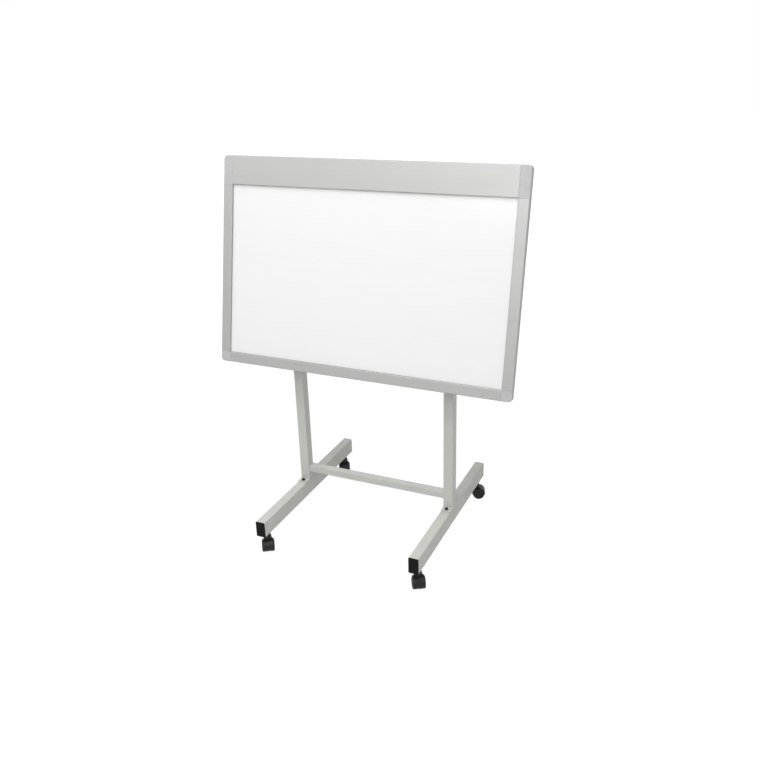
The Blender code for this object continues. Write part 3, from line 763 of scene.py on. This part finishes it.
# %% Corner pieces
corner_radius = 0.014
soft_edge = 0.0005
overrun = 0.002
rim_angle = math.radians(60)


def corner_shape(height, inset):
    size = Vector((frame_width, board_thickness, height))
    shape = block((0, 0, 0), size)
    near = weld_distance
    outer = [edge for edge in shape.edges
             if all(vert.co.x < near and vert.co.z < near for vert in edge.verts)]
    round_edges(shape, outer, corner_radius, 12)
    for inside, radius, segments in ((False, edge_radius, 5), (True, soft_edge, 2)):
        rim = []
        for edge in shape.edges:
            first, last = [vert.co for vert in edge.verts]
            on_face = first.y < near or first.y > size.y - near
            level = abs(first.y - last.y) < near and on_face
            at_seam = min(first.x, last.x) > size.x - near or min(first.z, last.z) > size.z - near
            if level and at_seam == inside and edge.calc_face_angle(0) > rim_angle:
                rim.append(edge)
        round_edges(shape, rim, radius, segments)
    pocket = block(
        (panel_inset - seam, recess_depth, inset - seam),
        (frame_width + overrun, board_thickness - profile_wall, height + overrun),
    )
    notch = block(
        (panel_inset + flange_cover, recess_depth + overrun, inset + flange_cover),
        (frame_width + overrun, board_thickness + overrun, height + overrun),
    )
    return with_tool(with_tool(shape, pocket, "DIFFERENCE"), notch, "DIFFERENCE")


corner_top_height = header_high.z - left_high.z - seam
corner_bottom_height = left_low.z - bottom_low.z - seam
for side, side_name, edge_x in ((1, "left", left_low.x), (-1, "right", right_high.x)):
    for rise, rise_name, edge_z, height, inset in (
        (1, "bottom", bottom_low.z, corner_bottom_height, panel_inset),
        (-1, "top", header_high.z, corner_top_height, header_inset),
    ):
        name = rise_name + "_" + side_name + "_corner"
        seat = Matrix.Translation((edge_x, board_front, edge_z))
        mirror = Matrix.Diagonal((side, 1, rise, 1))
        shape = placed(corner_shape(height, inset), board_space @ seat @ mirror)
        dress(name + "_moulding", shape, "corner_plastic", "board", [name])

# %% [markdown]
# The panel is a sandwich: an enamelled steel face, a paper honeycomb core and a galvanised
# back sheet. They are flat sheets with their rims inside the profiles, so the solids keep
# their shape and only take their finishes.

# %% Panel finishes
for node, finish in (
    ("writing_panel", "white_enamel"),
    ("panel_core", "paper_honeycomb"),
    ("back_sheet", "galvanised"),
):
    for material_slot in frame["nodes"][node].material_slots:
        material_slot.material = finishes[finish]
    print("finish", node, finish)

# %% [markdown]
# Two zinc-plated channels run down the back and carry the tilt brackets. They are folded from
# sheet, so the section has rounded bends, outside and inside. Two screws hold each end.

# %% Rails and their screws
rail_wall = 0.002
bend_radius = 0.0028
screw_chamfer = 0.0003
screw_rim = 0.22
socket_mouth = 1.16
socket_depth = 0.6


def rail_section(width, depth):
    """A channel's section, open towards the board: X is across it and Y is back."""
    half = width / 2
    inner = half - rail_wall
    shape = flat_face((
        (-half, 0), (-inner, 0), (-inner, depth - rail_wall), (inner, depth - rail_wall),
        (inner, 0), (half, 0), (half, depth), (-half, depth),
    ))
    round_corners(
        shape,
        (bend_radius, (-half, depth), (half, depth)),
        (bend_radius - rail_wall, (-inner, depth - rail_wall), (inner, depth - rail_wall)),
    )
    return shape


def dome(start, radius, rise, end, steps):
    """The outline of a domed head: an ellipse from its side up to an angle in degrees."""
    return [(start[0] + radius * across, start[1] + rise * up)
            for across, up in arc((0, 0), 1, 0, end, steps)]


def open_edges(shape):
    return [edge for edge in shape.edges if len(edge.link_faces) < 2]


def socket_bolt(radius, height, socket, shank, grip):
    """A button-head screw on Z: a domed head from 0 up, with a hexagonal socket in it."""
    rim = height * screw_rim
    mouth = socket * socket_mouth
    under = [(0, -grip), (shank, -grip), (shank, 0),
             (radius - screw_chamfer, 0), (radius, screw_chamfer)]
    shape = turned(under + dome((mouth, rim), radius - mouth, height - rim, 90, 6), 36)
    top = Matrix.Translation((0, 0, height))
    bmesh.ops.create_circle(shape, segments=6, radius=socket, matrix=top)
    bmesh.ops.bridge_loops(shape, edges=open_edges(shape))
    grown = bmesh.ops.extrude_edge_only(shape, edges=open_edges(shape))["geom"]
    bottom = [item for item in grown if isinstance(item, bmesh.types.BMVert)]
    bmesh.ops.translate(shape, vec=(0, 0, -height * socket_depth), verts=bottom)
    bmesh.ops.holes_fill(shape, edges=open_edges(shape), sides=8)
    bmesh.ops.recalc_face_normals(shape, faces=shape.faces)
    return shape


rail_screw = {
    "radius": 0.0042, "height": 0.0024, "socket": 0.0018, "shank": 0.0018, "grip": 0.004,
}
rail_screw_inset = 0.011
rail_screw_reach = 0.013
for side in ("left", "right"):
    name = side + "_rail"
    low, high = box_in(name, board_space)
    width, depth = high.x - low.x, high.y - low.y
    middle = (low.x + high.x) / 2
    shape = rail_section(width, depth)
    push(shape, shape.faces[:], (0, 0, high.z - low.z))
    place = Matrix.Translation((middle, low.y, low.z))
    dress(name + "_channel", placed(shape, board_space @ place), "zinc_steel", "board", [name])
    screws = []
    for across in (-rail_screw_reach, rail_screw_reach):
        for up in (low.z + rail_screw_inset, high.z - rail_screw_inset):
            seat = backwards((middle + across, high.y, up))
            screws.append(placed(socket_bolt(**rail_screw), board_space @ seat))
    dress(name + "_screws", join_shapes(*screws), "bright_bolt", "board")

# %% [markdown]
# A tilt bracket is one folded channel whose two ears stand on both sides of the post. The
# pivot rivet passes through the ears, and the lock knob's stud slides in a slot that is an arc
# round the pivot. Crossing the folded section with the ears' outline gives both at once.

# %% Tilt brackets
bracket_wall = 0.003
bracket_bend = 0.0045
ear_round = 0.016
ear_rim = 0.007
stud_radius = 0.004
rivet_radius = 0.005
running_gap = 0.0003
slot_radius = pivot.z - joints["left_knob_turn"]["pos_m"][2]
slot_half = stud_radius + running_gap
slot_spare = math.degrees(running_gap / slot_radius)
straight_down = -90
tilts = [math.degrees(board_lean) + angle for angle in joints["board_tilt"]["range_deg"]]
slot_near = straight_down + tilts[0] - slot_spare
slot_far = straight_down + tilts[1] + slot_spare
ear_top_turns = (100, 10)
ear_tail_turn = -105
bracket_edge = 0.0004
bracket_edge_angle = math.radians(50)
bracket_bolt_shank = 0.003
bracket_bolt_grip = 0.01
socket_share = 0.42


def on_slot(turn):
    """The point of the slot's middle line at an angle in degrees."""
    return slot_radius * math.cos(math.radians(turn)), slot_radius * math.sin(math.radians(turn))


def ear_outline(front, back, low, high):
    """The ears seen from the side, with X back from the pivot and Y up the board."""
    lobe = slot_half + ear_rim
    return (
        [(front, high), (back, high)] + arc((0, 0), ear_round, *ear_top_turns, 12)
        + arc(on_slot(slot_far), lobe, 0, slot_far, 8)
        + arc((0, 0), slot_radius + lobe, slot_far, ear_tail_turn, 16)[1:]
        + [(back, low), (front, low)]
    )


def slot_outline():
    return (
        arc((0, 0), slot_radius + slot_half, slot_near, slot_far, 16)[:-1]
        + arc(on_slot(slot_far), slot_half, slot_far, slot_far + 180, 8)[:-1]
        + arc((0, 0), slot_radius - slot_half, slot_far, slot_near, 16)[:-1]
        + arc(on_slot(slot_near), slot_half, slot_near + 180, slot_near + 360, 8)[:-1]
    )


def across_board(points, half):
    """Thickens an outline along the board's X to both sides of its middle."""
    shape = flat_face(points)
    push(shape, shape.faces[:], (0, 0, 2 * half))
    return placed(shape, sideways((-half, 0, 0)))


def bracket_shape(low, high):
    """The folded section, crossed with the ears' outline and then slotted."""
    half = (high.x - low.x) / 2
    inner = half - bracket_wall
    floor = low.y + bracket_wall
    reach = slot_radius
    section = flat_face((
        (-half, low.y), (half, low.y), (half, reach), (inner, reach),
        (inner, floor), (-inner, floor), (-inner, reach), (-half, reach),
    ))
    round_corners(
        section,
        (bracket_bend, (-half, low.y), (half, low.y)),
        (bracket_bend - bracket_wall, (-inner, floor), (inner, floor)),
    )
    push(section, section.faces[:], (0, 0, high.z - low.z + 2 * overrun))
    channel = placed(section, Matrix.Translation((0, 0, low.z - overrun)))
    wide = half + overrun
    ears = across_board(ear_outline(low.y, floor, low.z, high.z), wide)
    bracket = with_tool(channel, ears, "INTERSECT")
    bracket = with_tool(bracket, across_board(slot_outline(), wide), "DIFFERENCE")
    hole = across_board(arc((0, 0), rivet_radius + running_gap, 0, 360, 32)[:-1], wide)
    bracket = with_tool(bracket, hole, "DIFFERENCE")
    sharp = [edge for edge in bracket.edges
             if len(edge.link_faces) == 2 and edge.calc_face_angle(0) > bracket_edge_angle]
    round_edges(bracket, sharp, bracket_edge, 2)
    return bracket


for side in ("left", "right"):
    name = side + "_bracket"
    low, high = box_in(name, board_space)
    middle = (low.x + high.x) / 2
    local_low = Vector((low.x - middle, low.y, low.z))
    local_high = Vector((high.x - middle, high.y, high.z))
    shape = bracket_shape(local_low, local_high)
    shape = placed(shape, board_space @ Matrix.Translation((middle, 0, 0)))
    dress(name + "_folded", shape, "painted_steel", "board", [name])
    for place in ("lower", "upper"):
        bolt = name + "_" + place + "_bolt"
        bolt_low, bolt_high = box_in(bolt, board_space)
        head_radius = (bolt_high.x - bolt_low.x) / 2
        head_height = bolt_high.y - low.y - bracket_wall
        height = (bolt_low.z + bolt_high.z) / 2
        seat = backwards((middle, bolt_high.y - head_height, height))
        shape = socket_bolt(
            head_radius, head_height, head_radius * socket_share, bracket_bolt_shank,
            bracket_bolt_grip,
        )
        dress(bolt + "_head", placed(shape, board_space @ seat), "bright_bolt", "board", [bolt])

# %% [markdown]
# The stand is welded from square tube. A post is a tube with a welded flange, which two bolts
# hold on the foot. A weld bead is a row of small overlapping drops: a closed curve with a round
# bevel, whose radius goes up and down from point to point, gives just that.

# %% Posts, bar and beads
post_wall = 0.0016
post_round = 0.003
flange_thickness = 0.004
flange_round = 0.005
flange_rim = 0.0006
bar_wall = 0.0015
bar_round = 0.0025
bead_radius = 0.0021
bead_pitch = 0.0011
bead_ripple = (1.0, 0.86)
bead_drift = (0.92, 1.06)


def weld_bead(width, height, space, seed):
    """A rippled bead round a rectangular tube, its middle line in X and Y."""
    outline = rounded_face(width, height, post_round)
    corners = [vert.co.copy() for face in outline.faces for vert in face.verts]
    outline.free()
    points = []
    for start, end in zip(corners, corners[1:] + corners[:1]):
        steps = max(1, round((end - start).length / bead_pitch))
        points += [start.lerp(end, step / steps) for step in range(steps)]
    curve = bpy.data.curves.new("bead", "CURVE")
    curve.dimensions = "3D"
    curve.bevel_depth = bead_radius
    curve.bevel_resolution = 2
    spline = curve.splines.new("POLY")
    spline.points.add(len(points) - 1)
    spline.use_cyclic_u = True
    chance = random.Random(seed)
    for number, (point, place) in enumerate(zip(spline.points, points)):
        point.co = (*place, 1)
        point.radius = bead_ripple[number % 2] * chance.uniform(*bead_drift)
    holder = bpy.data.objects.new("bead", curve)
    bpy.context.scene.collection.objects.link(holder)
    beaded = holder.evaluated_get(bpy.context.evaluated_depsgraph_get())
    mesh = bpy.data.meshes.new_from_object(beaded)
    shape = bmesh.new()
    shape.from_mesh(mesh)
    bpy.data.objects.remove(holder)
    bpy.data.meshes.remove(mesh)
    bmesh.ops.remove_doubles(shape, verts=shape.verts, dist=weld_distance)
    return placed(shape, space)


def rod(radius, start, end):
    """A round tool along Z."""
    return turned([(0, start), (radius, start), (radius, end), (0, end)], 32)


bar_low, bar_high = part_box("cross_bar")
for sign, side in ((-1, "left"), (1, "right")):
    name = side + "_post"
    low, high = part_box(name)
    middle = (low.x + high.x) / 2
    width = high.x - low.x
    base = Matrix.Translation((middle, 0, low.z))
    post = placed(tube(width, width, high.z - low.z, post_wall, post_round), base)
    for radius, height in ((rivet_radius, pivot.z), (stud_radius, pivot.z - slot_radius)):
        hole = placed(rod(radius + running_gap, -width, width), sideways((middle, 0, height)))
        post = with_tool(post, hole, "DIFFERENCE")
    flange = placed(plate(width, high.y - low.y, flange_thickness, flange_round, flange_rim), base)
    seam_place = Matrix.Translation((middle, 0, low.z + flange_thickness))
    bead = weld_bead(width, width, seam_place, sign + 2)
    dress(name + "_welded", join_shapes(post, flange, bead), "stand_paint", "stand", [name])

bar_width = bar_high.y - bar_low.y
bar_middle = (bar_low.z + bar_high.z) / 2
bar = tube(bar_width, bar_width, bar_high.x - bar_low.x, bar_wall, bar_round)
pieces = [placed(bar, sideways((bar_low.x, 0, bar_middle)))]
for end_x, seed in ((bar_low.x, 7), (bar_high.x, 8)):
    pieces.append(weld_bead(bar_width, bar_width, sideways((end_x, 0, bar_middle)), seed))
dress("cross_bar_welded", join_shapes(*pieces), "stand_paint", "stand", ["cross_bar"])

# %% [markdown]
# The pivot rivets are closed with a round die, so both heads are shallow domes. Each foot is a
# taller tube, and black socket bolts hold the flange on it.

# %% Rivets, feet and foot bolts
rivet_head = 0.0035
rivet_rim = 0.2
rivet_dome_end = 81
foot_wall = 0.0018
foot_round = 0.004
foot_bolt_shank = 0.004
foot_bolt_grip = 0.02
for side in ("left", "right"):
    name = side + "_pivot_rivet"
    low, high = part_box(name)
    half = (high.x - low.x) / 2
    seat = half - rivet_head
    radius = (high.z - low.z) / 2
    rim = rivet_head * rivet_rim
    head = dome((0, seat + rim), radius, rivet_head - rim, rivet_dome_end, 9)
    upper = [(rivet_radius, seat), (radius - screw_chamfer, seat)] + head + [(0, half)]
    lower = [(across, -along) for across, along in reversed(upper)]
    shape = placed(turned(lower + upper, 40), sideways(((low.x + high.x) / 2, 0, pivot.z)))
    dress(name + "_closed", shape, "bright_bolt", "stand", [name])

    name = side + "_foot"
    low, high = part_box(name)
    middle = (low + high) / 2
    shape = tube(high.x - low.x, high.z - low.z, high.y - low.y, foot_wall, foot_round)
    shape = placed(shape, backwards((middle.x, low.y, middle.z)))
    dress(name + "_tube", shape, "stand_paint", "stand", [name])

    flange_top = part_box(side + "_post")[0].z + flange_thickness
    for end in ("front", "rear"):
        name = side + "_foot_" + end + "_bolt"
        low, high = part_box(name)
        middle = (low + high) / 2
        head_radius = (high.x - low.x) / 2
        head_height = high.z - flange_top
        shape = socket_bolt(
            head_radius, head_height - running_gap, head_radius * socket_share, foot_bolt_shank,
            foot_bolt_grip,
        )
        place = Matrix.Translation((middle.x, middle.y, flange_top + running_gap))
        dress(name + "_head", placed(shape, place), "black_bolt", "stand", [name])

# %% [markdown]
# Black plugs close the tube ends. Each has a lip with a rounded rim that covers the cut end,
# a face that is very slightly dished, and a ribbed block that grips inside the tube.

# %% Tube plugs
plug_lip = 0.003
plug_rim = 0.0014
dish_inset = 0.002
dish_depth = 0.00025
grip_gap = 0.0012
grip_edge = 0.0004
fin_thickness = 0.0012
fin_edge = 0.0003
fin_levels = (0.25, 0.55, 0.85)
foot_plug_depth = 0.014
post_plug_depth = 0.008


def plug_shape(width, height, wall, radius, depth):
    """A plug whose lip starts at Z = 0 and whose block goes down from there."""
    lip = rounded_face(width, height, radius)
    push(lip, lip.faces[:], (0, 0, plug_lip))
    bmesh.ops.recalc_face_normals(lip, faces=lip.faces)
    rim = [edge for edge in lip.edges
           if all(abs(vert.co.z - plug_lip) < weld_distance for vert in edge.verts)]
    round_edges(lip, rim, plug_rim, 5)
    face = max(lip.faces, key=lambda each: each.calc_center_median().z)
    bmesh.ops.inset_region(lip, faces=[face], thickness=dish_inset, use_even_offset=True)
    face = max(lip.faces, key=lambda each: (
        round(each.calc_center_median().z, 6), each.calc_area()
    ))
    bmesh.ops.translate(lip, vec=(0, 0, -dish_depth), verts=face.verts)
    room = wall + running_gap
    wide, tall = width - 2 * room, height - 2 * room
    core = plate(wide - grip_gap, tall - grip_gap, depth, radius - wall, grip_edge)
    bmesh.ops.translate(core, vec=(0, 0, -depth), verts=core.verts)
    shapes = [lip, core]
    for level in fin_levels:
        fin = plate(wide, tall, fin_thickness, radius - wall, fin_edge)
        bmesh.ops.translate(fin, vec=(0, 0, -depth * level), verts=fin.verts)
        shapes.append(fin)
    return join_shapes(*shapes)


for side in ("left", "right"):
    foot_low, foot_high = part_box(side + "_foot")
    middle = (foot_low + foot_high) / 2
    width, height = foot_high.x - foot_low.x, foot_high.z - foot_low.z
    for end, across, end_y in (
        ("front", 1, foot_low.y - running_gap), ("rear", -1, foot_high.y + running_gap),
    ):
        name = side + "_foot_" + end + "_cap"
        place = axes((across, 0, 0), (0, 0, 1), (middle.x, end_y, middle.z))
        shape = plug_shape(width, height, foot_wall, foot_round, foot_plug_depth)
        shape = placed(shape, place)
        dress(name + "_moulding", shape, "black_plastic", "stand", [name])
    name = side + "_post_cap"
    low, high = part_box(name)
    place = Matrix.Translation(((low.x + high.x) / 2, 0, high.z - plug_lip))
    shape = plug_shape(high.x - low.x, high.y - low.y, post_wall, post_round, post_plug_depth)
    shape = placed(shape, place)
    dress(name + "_moulding", shape, "black_plastic", "stand", [name])

# %% [markdown]
# The two lock knobs clamp the ears against the posts. The grip is a circle with five lobes,
# extruded and rounded at both rims, with a cap in its middle, and a steel washer and stud.

# %% Lock knobs
knob_radius = 0.021
knob_lobe = 0.003
knob_lobes = 5
knob_edge = 0.002
knob_rim_angle = math.radians(60)
hub_height = 0.006
knob_top = 0.02
cap_low = knob_top - 0.0006
washer_height = 0.0015
washer_radius = 0.0115
washer_chamfer = 0.0003
stud_chamfer = 0.0008
knob_hub_outline = (
    (0, washer_height), (0.0112, washer_height), (0.0118, washer_height + 0.0005),
    (0.0118, hub_height - 0.001), (0.0125, hub_height + 0.0005), (0, hub_height + 0.0005),
)
cap_outline = (
    (0, knob_top), (0.004, knob_top - 0.00008), (0.007, knob_top - 0.0003),
    (0.0086, cap_low), (0.0088, cap_low - 0.001), (0, cap_low - 0.001),
)


def pin(radius, start, end, chamfer=0.0005):
    """The outline of a round pin or disc with chamfered ends."""
    return [(0, start), (radius - chamfer, start), (radius, start + chamfer),
            (radius, end - chamfer), (radius - chamfer, end), (0, end)]


def knob_grip():
    grip = bmesh.new()
    bmesh.ops.create_circle(grip, cap_ends=True, segments=90, radius=knob_radius)
    for vert in grip.verts:
        angle = math.atan2(vert.co.y, vert.co.x)
        vert.co *= 1 - knob_lobe / knob_radius * (1 - math.cos(knob_lobes * angle)) / 2
    bmesh.ops.translate(grip, vec=(0, 0, hub_height), verts=grip.verts)
    push(grip, grip.faces[:], (0, 0, cap_low - hub_height))
    bmesh.ops.recalc_face_normals(grip, faces=grip.faces)
    rims = [edge for edge in grip.edges if edge.calc_face_angle(0) > knob_rim_angle]
    round_edges(grip, rims, knob_edge, 4)
    return join_shapes(grip, turned(knob_hub_outline, 48), turned(cap_outline, 48))


def knob_steel(reach):
    washer = turned(pin(washer_radius, 0, washer_height, washer_chamfer), 48)
    stud = turned([
        (0, -reach), (stud_radius - stud_chamfer, -reach), (stud_radius, stud_chamfer - reach),
        (stud_radius, 0), (0, 0),
    ], 32)
    return join_shapes(washer, stud)


for sign, side in ((-1, "left"), (1, "right")):
    name = side + "_lock_knob"
    low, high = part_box(name)
    place = joints[side + "_knob_turn"]["pos_m"]
    stud_reach = abs(place[0]) - min(abs(low.x), abs(high.x))
    seat = axes((0, 0, -sign), (0, 1, 0), place)
    dress(name + "_grip", placed(knob_grip(), seat), "black_plastic", side + "_knob", [name])
    dress(name + "_steel", placed(knob_steel(stud_reach), seat), "bright_bolt", side + "_knob")

# %% [markdown]
# A twin-wheel caster has one moulded body: a web between the wheels, a guard over the treads
# and a neck that holds the stem. It is made once, with the stem on Z and the axle behind it on
# X, and copied to the four places, where each one trails in its own direction.

# %% Caster body
first = joints["front_left_wheel_a_spin"]
first_place = Vector(first["pos_m"])
stem_place = Vector(joints["front_left_swivel"]["pos_m"])
trail = (first_place.xy - stem_place.xy).length
axle_height = first_place.z
guard_inside = 0.0262
guard_outside = 0.0280
guard_half = 0.0256
guard_shoulder = 0.0085
guard_lip = 34
web_half = 0.004
web_floor = 0.011
web_chamfer = 0.0006
guard_low = 0.021
wheel_room = (guard_inside + guard_outside) / 2 - running_gap
neck_low = 0.040
neck_top = 0.0789
neck_outline = (
    (0, neck_low), (0.0172, neck_low), (0.0175, neck_low + 0.0004), (0.0173, 0.045),
    (0.0168, 0.050), (0.0159, 0.056), (0.0147, 0.062), (0.0133, 0.068), (0.0119, 0.0735),
    (0.0104, neck_top - 0.0008), (0.0095, neck_top), (0, neck_top),
)
tool_reach = 0.1
axle_axes = axes((1, 0, 0), (0, 0, -1), (trail, 0, axle_height))


def caster_body():
    drop = math.asin((guard_low - axle_height) / guard_inside)
    wall = guard_outside - guard_inside
    near = (guard_outside - guard_shoulder, guard_shoulder - guard_half)
    far = (near[0], -near[1])
    inside = guard_shoulder - wall
    guard = flat_face(
        arc(near, guard_shoulder, -guard_lip, 0, 8) + arc(far, guard_shoulder, 0, guard_lip, 8)
        + arc(far, inside, guard_lip, 0, 8) + arc(near, inside, 0, -guard_lip, 8)
    )
    bmesh.ops.rotate(guard, matrix=Matrix.Rotation(-drop, 3, "Y"), verts=guard.verts)
    bmesh.ops.spin(
        guard, geom=guard.faces[:], cent=(0, 0, 0), axis=(0, -1, 0), dvec=(0, 0, 0),
        angle=math.pi - 2 * drop, steps=48, use_merge=False, use_duplicate=False,
    )
    body = placed(guard, Matrix.Translation((trail, 0, axle_height)))
    disc = turned(pin(guard_outside - web_chamfer, -web_half, web_half, web_chamfer), 72)
    sole = block((-tool_reach, -tool_reach, -tool_reach), (tool_reach, tool_reach, web_floor))
    disc = with_tool(placed(disc, axle_axes), sole, "DIFFERENCE")
    neck = turned(neck_outline, 48)
    for half_turn in (math.pi, 0):
        room = rod(wheel_room, web_half, tool_reach / 2)
        side_axes = axle_axes @ Matrix.Rotation(half_turn, 4, "X")
        neck = with_tool(neck, placed(room, side_axes), "DIFFERENCE")
    body = with_tool(body, placed(disc), "UNION")
    body = with_tool(body, placed(neck), "UNION")
    return placed(body)


body_shape = caster_body()
print("caster body", len(body_shape.faces), "faces, trail", round(trail, 4))

# %% [markdown]
# A wheel is turned on its axle's line. Its outer face is dished, with five shallow pockets
# between ribs: the faces of each pocket are picked by their angle, inset and pushed in. The
# tread is a band of its own grade, split from the hub by a fine groove.

# %% Caster wheel
floor_clearance = 0.00001
wheel_radius = axle_height - floor_clearance
wheel_width = 0.02
wheel_edge = 0.005
groove_top = 0.0005
bore_radius = 0.0033
bore_depth = 0.017
pockets = 5
pocket_inner = 0.0085
pocket_outer = 0.0155
pocket_half_angle = 27
pocket_slope = 0.0005
pocket_depth = 0.001
# From the middle outwards: radius, and depth under the outer face.
hub_outline = (
    (0, 0), (0.003, 0.0001), (0.0052, 0.0005), (0.0062, 0.0012), (0.0072, 0.0013),
    (pocket_inner, 0.0013), (pocket_outer, 0.0013), (0.0162, 0.0011), (0.0170, 0.0003),
    (0.0176, 0),
)
groove_outline = ((0.0014, 0), (0.0013, 0.0004), (0.0006, 0.0004), (groove_top, 0))


def caster_wheel():
    radius, edge = wheel_radius, wheel_edge
    rim = radius - edge
    profile = [(across, wheel_width - depth) for across, depth in hub_outline]
    profile += [(rim - inset, wheel_width - depth) for inset, depth in groove_outline]
    profile += reversed(arc((rim, wheel_width - edge), edge, 0, 90, 6))
    profile += [
        (radius, 0.0015), (radius - 0.0005, 0.0004), (radius - 0.0015, 0),
        (bore_radius, 0), (bore_radius, bore_depth), (0, bore_depth),
    ]
    shape = turned(profile, 60)
    for face in shape.faces:
        middle = face.calc_center_median()
        if middle.xy.length > rim - groove_top:
            face.material_index = 1
    for pocket in range(pockets):
        chosen = []
        for face in shape.faces:
            middle = face.calc_center_median()
            turn = math.degrees(math.atan2(middle.y, middle.x)) - pocket * 360 / pockets
            turn = (turn + 180) % 360 - 180
            on_disc = pocket_inner < middle.xy.length < pocket_outer
            outside = middle.z > wheel_width / 2
            if on_disc and outside and abs(turn) < pocket_half_angle:
                chosen.append(face)
        bmesh.ops.inset_region(shape, faces=chosen, thickness=pocket_slope, use_even_offset=True)
        verts = {vert for face in chosen for vert in face.verts}
        bmesh.ops.translate(shape, vec=(0, 0, -pocket_depth), verts=list(verts))
    bmesh.ops.recalc_face_normals(shape, faces=shape.faces)
    return shape


wheel_shape = caster_wheel()
print("wheel", len(wheel_shape.faces), "faces, radius", round(wheel_radius, 5))

# %% [markdown]
# The axle and the stem are turned steel pins. The stem's collar sits under the foot, and its
# pin turns in the neck.

# %% Casters in place
axle_radius = 0.003
stem_radius = 0.0045
collar_radius = 0.01
collar_height = 0.003
collar_chamfer = 0.0004

for corner in ("front_left", "front_right", "rear_left", "rear_right"):
    stem_place = Vector(joints[corner + "_swivel"]["pos_m"])
    spin_axis = joints[corner + "_wheel_a_spin"]["axis"]
    heading = math.atan2(-spin_axis[0], spin_axis[1])
    under_stem = Matrix.Translation((*stem_place.xy, 0))
    caster_space = under_stem @ Matrix.Rotation(heading, 4, "Z")
    name = corner + "_hood"
    shape = placed(body_shape.copy(), caster_space)
    dress(name + "_moulding", shape, "caster_nylon", corner + "_caster", [name])
    axle_low, axle_high = box_in(corner + "_axle", caster_space)
    name = corner + "_axle"
    shape = turned(pin(axle_radius, axle_low.y, axle_high.y), 32)
    shape = placed(shape, caster_space @ axle_axes)
    dress(name + "_pin", shape, "bright_bolt", corner + "_caster", [name])
    name = corner + "_stem"
    stem_low, stem_high = box_in(name, caster_space)
    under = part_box(corner.split("_")[1] + "_foot")[0].z - running_gap
    shaft = pin(stem_radius, stem_low.z, stem_high.z)
    collar = pin(collar_radius, under - collar_height, under, collar_chamfer)
    profile = (
        shaft[:3] + [(stem_radius, under - collar_height)] + collar[1:-1]
        + [(stem_radius, under)] + shaft[3:]
    )
    dress(name + "_pin", placed(turned(profile, 40), caster_space), "bright_bolt", "stand", [name])
    for sign, letter in ((-1, "a"), (1, "b")):
        name = corner + "_wheel_" + letter
        low, high = box_in(name, caster_space)
        inner = min(abs(low.y), abs(high.y))
        turn = Matrix.Rotation(math.radians(-90 * sign), 4, "X")
        seat = Matrix.Translation((trail, sign * inner, axle_height)) @ turn
        shape = placed(wheel_shape.copy(), caster_space @ seat)
        dress(name + "_turned", shape, ["caster_nylon", "caster_tread"], name, [name])
body_shape.free()
wheel_shape.free()
